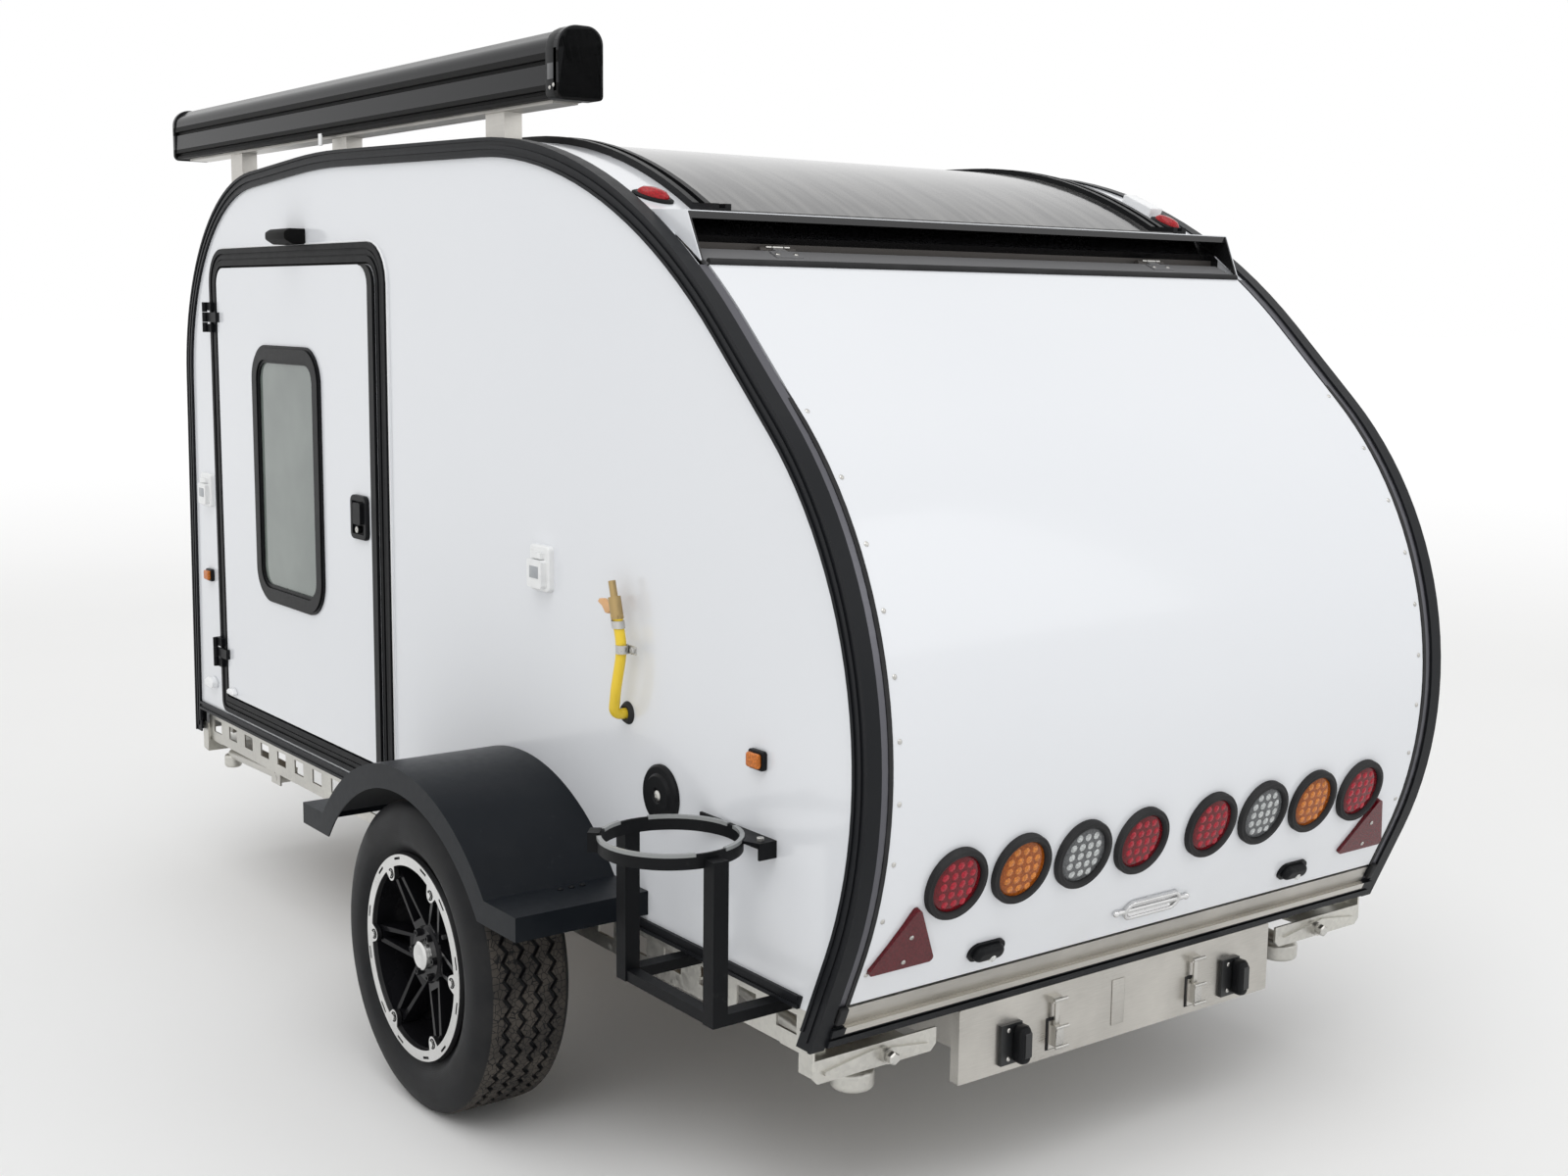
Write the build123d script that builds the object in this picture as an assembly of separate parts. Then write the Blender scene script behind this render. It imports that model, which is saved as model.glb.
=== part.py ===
# Teardrop trailer: a two-door sleeping cabin with a rear hatch on a galvanised single-axle chassis.
# Millimetres. +X forward to the towing coupling, +Y to the left side, +Z up, ground at z = 0.
# While it is drawn, x counts forward from the cabin's rear low corner and heights count from the
# cabin's low edge; ORIGIN_X moves the finished pieces to the middle of the overall length.
from build123d import *
from math import cos, hypot, radians, sin, sqrt
import os

os.makedirs("parts", exist_ok=True)

# Cabin
CABIN_BASE = 391            # ground to the cabin's low edge
CABIN_WIDTH = 1500          # over the side walls
CABIN_LENGTH = 2916         # along the low edge
WALL = 34                   # whole thickness of a side wall
SHELL = 34                  # whole thickness of roof and front wall
SKIN = 4                    # outer sheet that laps over the side walls
HALF = CABIN_WIDTH / 2
INNER = HALF - WALL

# Corners of the polygon that the cabin's outline rounds off, from the rear low corner forward
BULGE_X, BULGE_Z, BULGE_R = -289, 665, 786
SHOULDER_X, SHOULDER_Z, SHOULDER_R = 632, 1539, 1300
NOSE_X, NOSE_Z, NOSE_R = CABIN_LENGTH - 38, 1515, 543
CROWN_X, CROWN_Z, CROWN_R = NOSE_X - 928, 1572, 3000
MIDDLE_X, MIDDLE_Z = 1300, 500      # a point well inside the cabin

SIDE_BASE = 63              # side walls and floor start this far above the low edge
FLOOR_THICK = 30
FRONT_SPLIT = 1150          # seam between front wall and roof

# Edge trim and tail frame
TRIM_PROUD = 4
TRIM_FACE = 35              # width on the side wall
TRIM_LAP = 23               # width on the roof and the tail
BEAD, BEAD_PROUD = 7, 3     # the trim's moulded ribs
TRIM_BEADS = [-4, 12, 28]   # inset of each rib
FOOT_TRIM = 23              # height of the strip along the side's foot
GUTTER_OUT = HALF - TRIM_LAP
GUTTER_IN = INNER - 11
GUTTER_STEP = 5
SILL_TOP, SILL_LOW = 74, 39
TAIL_RIBS = [(2, 16), (22, 37)]     # low and high level of the two ribs under the sill
RIB_PROUD = 6

# Rear hatch and the hood over its hinge
HATCH_THICK = 28
HATCH_GAP = 5
HATCH_FOOT = 80
HATCH_HALF = GUTTER_IN - HATCH_GAP
HATCH_TOP_X, HATCH_TOP_Z = 390, 1294
HINGE_X, HINGE_Z = 465, 1326
HINGE_Y = HALF - 250
HINGE_R = 7
LEAF_HALF = 13              # half the width of the hinge's moving knuckle
KNUCKLE = 26                # each fixed knuckle beside it
PIN_GAP = 1
LEDGE_THICK = 6             # the hatch's top rail, between its edge and the hinge
LEAF_REACH, LEAF_NECK, LEAF_SHEET, LEAF_WIDE = 45, 20, 3, 30    # reach of leaf and neck from the pin, half width
HOOD_ROOT_X = 545
HOOD_LIP_X, HOOD_LIP_Z = 438, 1391
HOOD_HALF = HALF - 39
HOOD_SHEET = 6
HOOD_LIP = 14

# Roof
PANEL_HALF, PANEL_PROUD = HALF - 160, 3
PROFILE_RIDGES = [(0, 13, 14), (13, 14, 6), (27, 13, 14)]   # offset out, width, height
LAP_REAR_X = HOOD_LIP_X + 42    # panel and profiles lap onto the hood as far as this
ROOF_REAR_X, ROOF_FRONT_X = HOOD_ROOT_X, CABIN_LENGTH - 296
MARKER_IN, MARKER_WIDE = 62, 44     # roof marker lamps: in from the wall, width
MARKER_X, MARKER_Z = (548, 632), (1390, 1445)

# Wheels and fenders
WHEEL_X = 983
TYRE_R, TYRE_WIDTH, TYRE_BEAD_R = 316, 205, 197
WHEEL_OUT = 160             # middle of the tyre, out from the side wall
BEAD_HALF = 74              # half the tyre's width at its bead
RIM_SHEET = 14
RIM_HALF = 86
HUB_R, HUB_FACE = 62, 66
HUB_CORE_R, HUB_BACK = 76, -60
SPOKES = 6
SPOKE_ROOT, SPOKE_ROOT_HALF, SPOKE_TIP_HALF = 50, 27, 17
SPOKE_FOOT, SPOKE_RIB = 22, 9
RING_R, RING_WIDTH, RING_THICK_OUT = 211, 27, 10
LUG_R, LUG_REACH = 15, 176
BOLT_R, BOLT_HIGH = 7, 4
SLOT_LENGTH, SLOT_WIDTH, SLOT_DEEP = 26, 5, 5
SLOT_R, SLOT_TURN = 200, 17            # radius, angle either side of the middle between lugs
CAP_R, CAP_HIGH = 32, 14
FENDER_OUT = 280
FENDER_REAR, FENDER_FRONT = WHEEL_X - 478, WHEEL_X + 479
FENDER_SHEET = 3
STEP_TOP, STEP_LOW = 143, 97
ARCH_X, ARCH_Z, ARCH_R, ARCH_INNER_R = WHEEL_X + 7, -153, 470, 420

# Side doors
DOOR_REAR, DOOR_FRONT = FENDER_FRONT + 129, CABIN_LENGTH - 224
DOOR_LOW, DOOR_HIGH = 95, 1360
DOOR_RADIUS, DOOR_FOOT_RADIUS = 95, 30
FRAME_LAP = 20              # frame's lip on the wall
FRAME_FACE = 45             # lip's whole width
FRAME_PROUD = 4
FRAME_BEADS = [(0, 13, 4), (18, 9, 2), (31, 14, 4)]     # inset, width, height over the lip
DOOR_GAP = 5
LEAF_PROUD = 6
LEAF_THICK = 28
STOP_DEPTH = 15
PIN_OUT, PIN_AHEAD = 20, 5  # hinge axis out from the wall and ahead of the frame
HINGE_LEVELS = [260, 1180]
STRAP_LENGTH, STRAP_THICK, HINGE_FOOT = 66, 4, 9
WINDOW_MIDDLE, WINDOW_WIDTH = 32, 433       # middle ahead of the door's middle
WINDOW_LOW, WINDOW_HIGH = 452, 1114
WINDOW_RADIUS, WINDOW_FACE, WINDOW_PROUD = 90, 45, 5
WINDOW_LAP, WINDOW_REBATE = 12, 30          # door edge and glass edge inside the surround
WINDOW_BEAD = (7, 37, 4)                    # inset from, to, height
GLASS_THICK = 6
HANDLE_REAR, HANDLE_WIDTH = DOOR_REAR + 102, 89
HANDLE_LOW, HANDLE_HIGH = 674, 778
HANDLE_PROUD, HANDLE_RIM, PADDLE_RISE = 10, 13, 8
LOCK_R = 9

# Lamp over the left door
LAMP_X, LAMP_LONG = DOOR_REAR + 452, 249
AWNING_LAMP = [(0, 1366), (32, 1366), (58, 1380), (58, 1390), (44, 1400), (0, 1400)]    # out, level

# Tail lamps, reflectors, number plate lamps and handle, at heights on the tail
LAMP_R, LAMP_Z, LAMP_PROUD = 66, 281, 12
LENS_R = 51
LAMP_COUNT, LAMP_INNER, LAMP_OUTER = 4, 94, HALF - 209
REFLECTOR_SIDE, REFLECTOR_Z, REFLECTOR_Y = 150, 177, HALF - 132
PLATE_LAMP_Y, PLATE_LAMP_Z = 415, 125
HANDLE_BAIL, HANDLE_DEEP, HATCH_HANDLE_Z = 150, 42, 131
HANDLE_PIN, KNOB_R = 190, 7

# Small pieces on the walls
SOCKETS = [(888, 707), (CABIN_LENGTH - 158, 706)]           # x, level
SIDE_MARKERS = [(168, 449), (CABIN_LENGTH - 139, 467)]      # x, level
DISC_X, DISC_Z = 457, 338
DISC_PROFILE = [(0, 0), (57, 0), (57, 5), (53, 9), (41, 9), (36, 14), (15, 14), (11, 10), (0, 10)]

# Awning case above the left roof edge
AWNING_REAR, AWNING_FRONT = 821, CABIN_LENGTH + 32
AWNING_LOW, AWNING_HIGH, AWNING_DEPTH = 1612, 1743, 95
AWNING_CAP, CAP_MARGIN = 14, 3
CAP_BENDS = [14, 44, 34, 10]
AWNING_SECTION = [  # out from the wall's plane, below the top, corner radius
    (-2, 131, 1), (-2, 124, 1), (-7, 123, 1), (-7, 117, 1), (1, 116, 1.5), (-1, 68, 1.5), (-6, 67, 1), (-6, 60, 1),
    (2, 59, 1.5), (-2, 23, 24), (-34, 0, 20), (-73, 2, 14), (-95, 21, 10), (-95, 131, 2)]
AWNING_FEET = [1130, 1900, CABIN_LENGTH - 356]
AWNING_FOOT, FOOT_WIDE = 80, 40
AWNING_FOOT_IN = 30
RAIL_THICK = 6

# Chassis
RAIL_Y, RAIL_HEIGHT, RAIL_FLANGE, RAIL_SHEET = HALF - 20, 90, 40, 4
RAIL_REAR, RAIL_FRONT = 40, CABIN_LENGTH - 36
CUT_PITCH, CUT_WIDTH, CUT_HEIGHT = 118, 58, 36
MEMBERS = [70, 930, CABIN_LENGTH - 1016, CABIN_LENGTH - 86]
MEMBER_WIDTH, MEMBER_HEIGHT = 50, 66
AXLE_AHEAD, AXLE_SIDE = 150, 80
ARM_THICK, ARM_BEAM_R, ARM_HUB_R = 30, 38, 34
STUB_R, STUB_GAP = 20, 66
BAR_WIDTH, BAR_HEIGHT, BAR_SHEET = 50, 70, 4
BAR_REAR_X, BAR_FRONT_X = CABIN_LENGTH - 1096, CABIN_LENGTH + 884
BAR_REAR_Y, BAR_FRONT_Y = HALF - 190, 42
BAR_NEAREST_Y = 16          # the bars are cut to this distance from the middle

# Coupling
COUPLING_X, COUPLING_Z = BAR_FRONT_X + 236, 430     # ball centre, above the ground
BALL_R, HEAD_WALL = 25.5, 16.5
HEAD_BELOW, HEAD_ABOVE = 24, 24
NECK_HALF = 26
LEVER_LENGTH, LEVER_RISE, LEVER_HALF = 150, 46, 15

# Jockey wheel
JOCKEY_X = CABIN_LENGTH + 644
JOCKEY_WHEEL_R, JOCKEY_WHEEL_WIDTH, JOCKEY_TRAIL = 100, 60, 45
JOCKEY_TUBE_R, JOCKEY_TUBE_HIGH = 24, 260
JOCKEY_AXLE_R = 8
FORK_SHEET, FORK_SIDE, FORK_ABOVE = 5, 4, 14
CRANK_R, CRANK_REACH, CRANK_GRIP = 7, 130, 100
CLAMP_WALL, CLAMP_LENGTH, CLAMP_TOP, CLAMP_LOW = 12, 60, 10, 60

# Corner steadies
STEADY_DROP = 28                        # the leg's pivot below the rail
STEADY_FROM_END = 12                    # corner plate from the end of the cabin
STEADY_PIVOT, STEADY_LEG = 470, 385     # pivot from the plate, and the foot back from the pivot
STEADY_R = 14
FOOT_HIGH = 38
PLATE_IN, PLATE_OUT, PLATE_HIGH, PLATE_THICK = 286, 10, 42, 5       # ends in from the wall
FLANGE_LONG, FLANGE_RISE = 38, 47       # the plate's side flange along the rail, and over its low edge
CHEEK_GAP, CHEEK_THICK = 20, 5

# Under-floor drawer
DRAWER_HALF, DRAWER_LOW, DRAWER_HIGH = HALF - 328, -143, -4
DRAWER_DEPTH, DRAWER_FACE = 780, 20
SHEET = 2
SLIDE_GAP = 6
SLEEVE_SET_BACK, SLEEVE_NARROWER, SLEEVE_RISE = 26, 84, 14      # against the drawer's face
PULL_Y, LATCH_Y = DRAWER_HALF - 122, DRAWER_HALF - 232

# Gas bottle ring and hose
BOTTLE_X, BOTTLE_OUT, BOTTLE_R = 235, 128, 119
RING_TOP, RING_BAND, RING_SHEET = 336, 25, 5
POST, POST_LOW, POST_BELOW = 30, 42, 10
TIE_REAR, TIE_OUT, TIE_FLANGE = 130, 36, 30     # corner plate behind the ring: reach, depth, its flange
CLASP_DEEP, CLASP_WIDE, CLASP_TURN = 20, 34, 50      # turn from straight ahead towards the outside
HOSE_R = 10
HOSE_ROUTE = [(575, 0, 470), (575, 32, 470), (560, 36, 522), (548, 30, 598), (562, 31, 652)]   # x, out, level
HOSE_BENDS = [18, 60, 120]
VALVE_R, VALVE_LONG, SPIGOT_R, SPIGOT_LONG = 12, 42, 7, 30

NODES = {}


def flat(points):
    """Closed polygon seen from the left: x forward, z above the cabin's low edge."""
    corners = [(x, z + CABIN_BASE) for x, z in points]
    return make_face(Polyline(*corners, close=True).edges())


def slab(face, y_a, y_b):
    """Side profile given thickness between two distances from the middle."""
    return extrude(Plane.XZ.offset(-max(y_a, y_b)) * face, amount=abs(y_b - y_a))


def block(x, y, z):
    """Box from its (low, high) spans, z above the cabin's low edge."""
    size = [max(span) - min(span) for span in (x, y, z)]
    middle = [sum(span) / 2 for span in (x, y, z)]
    return Pos(middle[0], middle[1], middle[2] + CABIN_BASE) * Box(*size)


def rod(start, end, radius):
    """Round bar from one point to another, z above the cabin's low edge."""
    a = Vector(start[0], start[1], start[2] + CABIN_BASE)
    b = Vector(end[0], end[1], end[2] + CABIN_BASE)
    return extrude(Plane(origin=a, z_dir=b - a) * Circle(radius), amount=(b - a).length)


def cross_bar(x, y, z, radius):
    """Round bar across the trailer between two y."""
    return rod((x, min(y), z), (x, max(y), z), radius)


def turned(points):
    """Round piece about +Z from its (radius, height) profile."""
    section = make_face(Polyline(*[(r, 0, h) for r, h in points], close=True).edges())
    return revolve(section, axis=Axis.Z)


def along(points, x_a, x_b, radii=None):
    """Profile of (y, z) points, with rounded corners if radii are given, and its length between two x."""
    corners = [(y, z + CABIN_BASE) for y, z in points]
    line = FilletPolyline(*corners, radius=radii, close=True) if radii else Polyline(*corners, close=True)
    plane = Plane(origin=(x_a, 0, 0), x_dir=(0, 1, 0), z_dir=(1, 0, 0))
    return extrude(plane * make_face(line.edges()), amount=x_b - x_a)


def joined(shapes):
    """One shape from several."""
    whole, *rest = shapes
    for shape in rest:
        whole = whole + shape
    return whole


def across(shape):
    """The same piece on the right side."""
    return mirror(shape, about=Plane.XZ)


def both(shape):
    return shape + across(shape)


OUTLINE = [(0, 0), (BULGE_X, BULGE_Z), (SHOULDER_X, SHOULDER_Z), (CROWN_X, CROWN_Z),
           (NOSE_X, NOSE_Z), (CABIN_LENGTH, 0)]
RADII = [BULGE_R, SHOULDER_R, CROWN_R, NOSE_R]


def outline(inset=0):
    """The cabin's outline, moved inwards by inset."""
    corners = [(x, z + CABIN_BASE) for x, z in OUTLINE]
    line = FilletPolyline(*corners, radius=RADII)
    face = make_face((line + Line(corners[-1], corners[0])).edges())
    return offset(face, amount=-inset, kind=Kind.INTERSECTION) if inset else face


def foot_x(z, inset):
    """Where the outline's tail and nose lines cross a level, moved inwards by inset."""
    tail_x = BULGE_X * z / BULGE_Z + inset * hypot(BULGE_X, BULGE_Z) / BULGE_Z
    lean = NOSE_X - CABIN_LENGTH
    return tail_x, CABIN_LENGTH + lean * z / NOSE_Z - inset * hypot(lean, NOSE_Z) / NOSE_Z


def band(outer, inner):
    """Strip along the outline between two insets, open at the cabin's foot."""
    low, high = -abs(outer) - 20, inner + 20
    (rear_low, front_low), (rear_high, front_high) = foot_x(low, inner), foot_x(high, inner)
    inside = flat([(rear_low, low), (front_low, low), (front_high, high), (rear_high, high)])
    return outline(outer) - outline(inner) - inside


def tail(z):
    """Point of the tail at a height, with its outward normal."""
    side = Vector(BULGE_X, BULGE_Z).normalized()
    up = Vector(SHOULDER_X - BULGE_X, SHOULDER_Z - BULGE_Z).normalized()
    turn = radians(side.get_angle(up))
    reach = BULGE_R * sin(turn / 2) / cos(turn / 2)
    start = Vector(BULGE_X, BULGE_Z) - side * reach
    centre = start + Vector(side.Y, -side.X) * BULGE_R
    if z < start.Y:
        return BULGE_X * z / BULGE_Z, Vector(-side.Y, 0, side.X)
    x = centre.X - sqrt(BULGE_R ** 2 - (z - centre.Y) ** 2)
    return x, Vector(x - centre.X, 0, z - centre.Y).normalized()


def on_tail(y, z):
    """Plane lying on the tail, its x to the right and its z outwards."""
    x, normal = tail(z)
    return Plane(origin=(x, y, z + CABIN_BASE), x_dir=(0, -1, 0), z_dir=normal)


def on_wall(x, z):
    """Plane lying on the left wall, its x forward and its z outwards."""
    return Plane(origin=(x, HALF, z + CABIN_BASE), x_dir=(-1, 0, 0), z_dir=(0, 1, 0))


def rounded(x, z, radius, foot_radius=None, inset=0):
    """Rounded upright rectangle in side view, moved inwards by inset."""
    low_x, high_x = x[0] + inset, x[1] - inset
    low_z, high_z = z[0] + inset + CABIN_BASE, z[1] - inset + CABIN_BASE
    top = max(radius - inset, 3)
    foot = max((radius if foot_radius is None else foot_radius) - inset, 3)
    sides = [(low_x, low_z), (high_x, low_z), (high_x, high_z), (low_x, high_z)]
    edges = FilletPolyline(*sides, radius=[foot, foot, top, top], close=True)
    return make_face(edges.edges())


def door_face(inset):
    return rounded((DOOR_REAR, DOOR_FRONT), (DOOR_LOW, DOOR_HIGH), DOOR_RADIUS, DOOR_FOOT_RADIUS, inset)


def window_face(inset):
    middle = (DOOR_REAR + DOOR_FRONT) / 2 + WINDOW_MIDDLE
    span = (middle - WINDOW_WIDTH / 2, middle + WINDOW_WIDTH / 2)
    return rounded(span, (WINDOW_LOW, WINDOW_HIGH), WINDOW_RADIUS, inset=inset)


def beyond(x, z):
    """Point far out on the line from the cabin's middle through a point of the outline."""
    return MIDDLE_X + 3 * (x - MIDDLE_X), MIDDLE_Z + 3 * (z - MIDDLE_Z)


def hatch_zone(low, top_x, top_z):
    """Region of the tail between a level and a point up the outline."""
    far = -CABIN_LENGTH
    return flat([(MIDDLE_X, low), (far, low), (far, 2 * SHOULDER_Z), beyond(top_x, top_z), (MIDDLE_X, MIDDLE_Z)])


# Cabin shell
REACH = CABIN_LENGTH + 200
under = flat([(-REACH, SIDE_BASE), (REACH, SIDE_BASE), (REACH, -REACH), (-REACH, -REACH)])
side_profile = outline(SKIN) - under
side_wall = slab(side_profile - door_face(FRAME_LAP), INNER, HALF)
NODES["side_wall_left"] = side_wall
NODES["side_wall_right"] = across(side_wall)

shell = slab(band(SKIN, SHELL), -INNER, INNER) + slab(band(0, SKIN), -GUTTER_OUT, GUTTER_OUT)
front_zone = flat([(MIDDLE_X, -REACH), (REACH, -REACH), (REACH, FRONT_SPLIT), (MIDDLE_X, FRONT_SPLIT)])
front_block = slab(front_zone, -HALF, HALF)
tail_block = slab(hatch_zone(-REACH, HINGE_X, HINGE_Z + 26), -HALF, HALF)
roof = shell - front_block - tail_block
NODES["front_wall"] = shell & front_block
NODES["roof"] = roof
NODES["floor"] = block((SHELL + 30, CABIN_LENGTH - SHELL - 6), (-INNER, INNER), (SIDE_BASE, SIDE_BASE + FLOOR_THICK))
cabin_solid = slab(outline(), -HALF, HALF)

# Rain hood: a bent sheet with a turned-down lip, and two cheeks that splay out to the trim
lip_low, sheet_low = HOOD_LIP_Z - HOOD_LIP, HOOD_LIP_Z - HOOD_SHEET
hood_sheet = flat([(HOOD_ROOT_X, HOOD_LIP_Z + 4), (HOOD_LIP_X, HOOD_LIP_Z), (HOOD_LIP_X, lip_low),
                   (HOOD_LIP_X + HOOD_SHEET, lip_low), (HOOD_LIP_X + HOOD_SHEET, sheet_low),
                   (HOOD_ROOT_X - 20, sheet_low), (HOOD_ROOT_X, sheet_low - HOOD_SHEET)])
cheek_face = flat([(HOOD_ROOT_X, HOOD_LIP_Z + 4), (HOOD_LIP_X, HOOD_LIP_Z), (HATCH_TOP_X + 8, HATCH_TOP_Z + 9),
                   (HATCH_TOP_X + 40, HATCH_TOP_Z)])
splay = Vector(HOOD_ROOT_X - HATCH_TOP_X, GUTTER_OUT - HOOD_HALF).normalized()
cheek_plane = Plane(origin=(HATCH_TOP_X, HOOD_HALF, 0), x_dir=(splay.X, splay.Y, 0), z_dir=(splay.Y, -splay.X, 0))
cheek_sheet = extrude(cheek_plane * Rectangle(REACH, 4 * REACH), amount=HOOD_SHEET)
cheek = slab(cheek_face, HOOD_HALF - WALL, GUTTER_OUT) & cheek_sheet
NODES["rain_hood"] = slab(hood_sheet, -HOOD_HALF, HOOD_HALF) + both(cheek) - cabin_solid

# Header bar under the hood, with the fixed knuckles of the two hatch hinges
header = slab(flat([(HINGE_X - 12, HINGE_Z - 70), (HINGE_X + 30, HINGE_Z - 70), (HINGE_X + 30, HINGE_Z - 2),
                    (HINGE_X + 14, HINGE_Z + 18), (HINGE_X + 14, HINGE_Z - 12), (HINGE_X - 12, HINGE_Z - 12)]),
              -INNER, INNER) - roof
for y in (HINGE_Y, -HINGE_Y):
    for way in (-1, 1):
        span = (y + way * (LEAF_HALF + PIN_GAP), y + way * (LEAF_HALF + PIN_GAP + KNUCKLE))
        header += cross_bar(HINGE_X, span, HINGE_Z, HINGE_R)
        header += block((HINGE_X - 4, HINGE_X + 4), span, (HINGE_Z - 14, HINGE_Z))
NODES["hatch_header"] = header

# Roof skin, its two ridged profiles and the marker lamps
roof_zone = flat([(ROOF_REAR_X, SHOULDER_Z / 2), (ROOF_FRONT_X, SHOULDER_Z / 2), (ROOF_FRONT_X, REACH),
                  (ROOF_REAR_X, REACH)])


def roof_strip(height, y_a, y_b):
    """Strip of this height along the roof, its rear end lapped onto the hood."""
    lap = flat([(LAP_REAR_X, HOOD_LIP_Z - HOOD_SHEET), (LAP_REAR_X, HOOD_LIP_Z + 2 + height),
                (HOOD_ROOT_X, HOOD_LIP_Z + 4 + height), (HOOD_ROOT_X + 10, HOOD_LIP_Z + 4 + height),
                (HOOD_ROOT_X + 10, HOOD_LIP_Z - HOOD_SHEET)])
    return slab(band(-height, 0) & roof_zone, y_a, y_b) + (slab(lap, y_a, y_b) - cabin_solid - NODES["rain_hood"])


NODES["roof_panel"] = roof_strip(PANEL_PROUD, -PANEL_HALF, PANEL_HALF)
NODES["roof_profiles"] = both(joined([
    roof_strip(height, PANEL_HALF + out, PANEL_HALF + out + width) for out, width, height in PROFILE_RIDGES]))
marker_y = (HALF - MARKER_IN - MARKER_WIDE / 2, HALF - MARKER_IN + MARKER_WIDE / 2)
marker = fillet(block(MARKER_X, marker_y, MARKER_Z).edges().filter_by(Axis.Z), 12)
marker = fillet(marker.faces().sort_by(Axis.Z)[-1].edges(), 8)
NODES["roof_markers"] = both(marker - cabin_solid)

# Tail frame: aluminium gutters up both sides of the hatch and the sill under it
gutter_zone = hatch_zone(SILL_LOW - 60, HATCH_TOP_X, HATCH_TOP_Z)
gutter = slab(band(0, SKIN) & gutter_zone, GUTTER_IN + GUTTER_STEP, GUTTER_OUT)
gutter += slab(band(0, SHELL) & gutter_zone, GUTTER_IN, GUTTER_IN + GUTTER_STEP)
sill_zone = flat([(-REACH, -50), (MIDDLE_X, -50), (MIDDLE_X, SILL_TOP), (-REACH, SILL_TOP)])
sill = slab(band(0, SHELL) & sill_zone, -INNER, INNER)
NODES["rear_frame"] = both(gutter) + sill

# Edge trim: a ribbed strip on each side, a lap over the roof and a ribbed strip under the sill
trim = slab(band(-TRIM_PROUD, TRIM_FACE), HALF, HALF + TRIM_PROUD)
for inset in TRIM_BEADS:
    trim += slab(band(inset, inset + BEAD), HALF + TRIM_PROUD, HALF + TRIM_PROUD + BEAD_PROUD)
trim += slab(band(-TRIM_PROUD, SKIN), GUTTER_OUT, HALF)
foot_strip = flat([(TRIM_FACE, SIDE_BASE), (CABIN_LENGTH - TRIM_FACE, SIDE_BASE),
                   (CABIN_LENGTH - TRIM_FACE, SIDE_BASE + FOOT_TRIM), (TRIM_FACE - 8, SIDE_BASE + FOOT_TRIM)])
trim += slab(foot_strip, HALF, HALF + TRIM_PROUD)
for level in (SIDE_BASE, SIDE_BASE + FOOT_TRIM - BEAD):
    trim += block((TRIM_FACE, CABIN_LENGTH - TRIM_FACE), (HALF, HALF + TRIM_PROUD + BEAD_PROUD),
                  (level, level + BEAD))
tail_strip = slab(band(-TRIM_PROUD, 0) & flat([(-REACH, 0), (MIDDLE_X, 0), (MIDDLE_X, SILL_LOW), (-REACH, SILL_LOW)]),
                  -GUTTER_OUT, GUTTER_OUT)
for low, high in TAIL_RIBS:
    zone = flat([(-REACH, low), (MIDDLE_X, low), (MIDDLE_X, high), (-REACH, high)])
    tail_strip += slab(band(-TRIM_PROUD - RIB_PROUD, 0) & zone, -GUTTER_OUT, GUTTER_OUT)
edge_trim = both(trim) + tail_strip
NODES["edge_trim"] = edge_trim

# Rear hatch, and its top rail carried by the hinges' moving leaves
hatch = slab(band(0, HATCH_THICK) & hatch_zone(HATCH_FOOT, HATCH_TOP_X, HATCH_TOP_Z), -HATCH_HALF, HATCH_HALF)
NODES["hatch"] = hatch
ledge_top = (HINGE_X - 13, HINGE_Z - 1)
ledge = flat([(HATCH_TOP_X + 2, HATCH_TOP_Z + 4), ledge_top, (ledge_top[0], ledge_top[1] - LEDGE_THICK),
              (HATCH_TOP_X + 8, HATCH_TOP_Z - 2)])
slope = (ledge_top[1] - HATCH_TOP_Z - 4) / (ledge_top[0] - HATCH_TOP_X - 2)
leaf_x = (HINGE_X - LEAF_REACH, HINGE_X - LEAF_NECK)
leaf_z = [ledge_top[1] + (x - ledge_top[0]) * slope for x in leaf_x]
leaf_plate = flat([(leaf_x[0], leaf_z[0] - 1), (leaf_x[0], leaf_z[0] + LEAF_SHEET),
                   (leaf_x[1], leaf_z[1] + LEAF_SHEET), (leaf_x[1], leaf_z[1] - 1)])
leaf_arm = flat([(leaf_x[0], leaf_z[0] - 1), (leaf_x[0], leaf_z[0] + LEAF_SHEET), (leaf_x[1], leaf_z[1] + LEAF_SHEET),
                 (HINGE_X, HINGE_Z + 6), (HINGE_X, HINGE_Z - 3), (ledge_top[0], ledge_top[1] - LEDGE_THICK)])
leaves = slab(ledge, -HATCH_HALF, HATCH_HALF)
for y in (HINGE_Y, -HINGE_Y):
    span = (y - LEAF_HALF, y + LEAF_HALF)
    leaves += cross_bar(HINGE_X, span, HINGE_Z, HINGE_R) + slab(leaf_arm, *span)
    leaves += slab(leaf_plate, y - LEAF_WIDE, y + LEAF_WIDE)
NODES["hatch_hinge_leaves"] = leaves - hatch

# Round tail lamps: a rubber ring with a lens set back in it
lamp = turned([(0, -6), (LAMP_R, -6), (LAMP_R, LAMP_PROUD - 6), (LAMP_R - 4, LAMP_PROUD - 1),
               (LAMP_R - 9, LAMP_PROUD), (LENS_R + 2, LAMP_PROUD - 2), (LENS_R, LAMP_PROUD - 6),
               (LENS_R, LAMP_PROUD - 8), (LENS_R - 5, LAMP_PROUD - 5), (0, LAMP_PROUD - 4)])
lamp_ys = [LAMP_INNER + k * (LAMP_OUTER - LAMP_INNER) / (LAMP_COUNT - 1) for k in range(LAMP_COUNT)]
NODES["tail_lamps"] = joined([
    on_tail(side * y, LAMP_Z).location * lamp - hatch for y in lamp_ys for side in (1, -1)])

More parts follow.
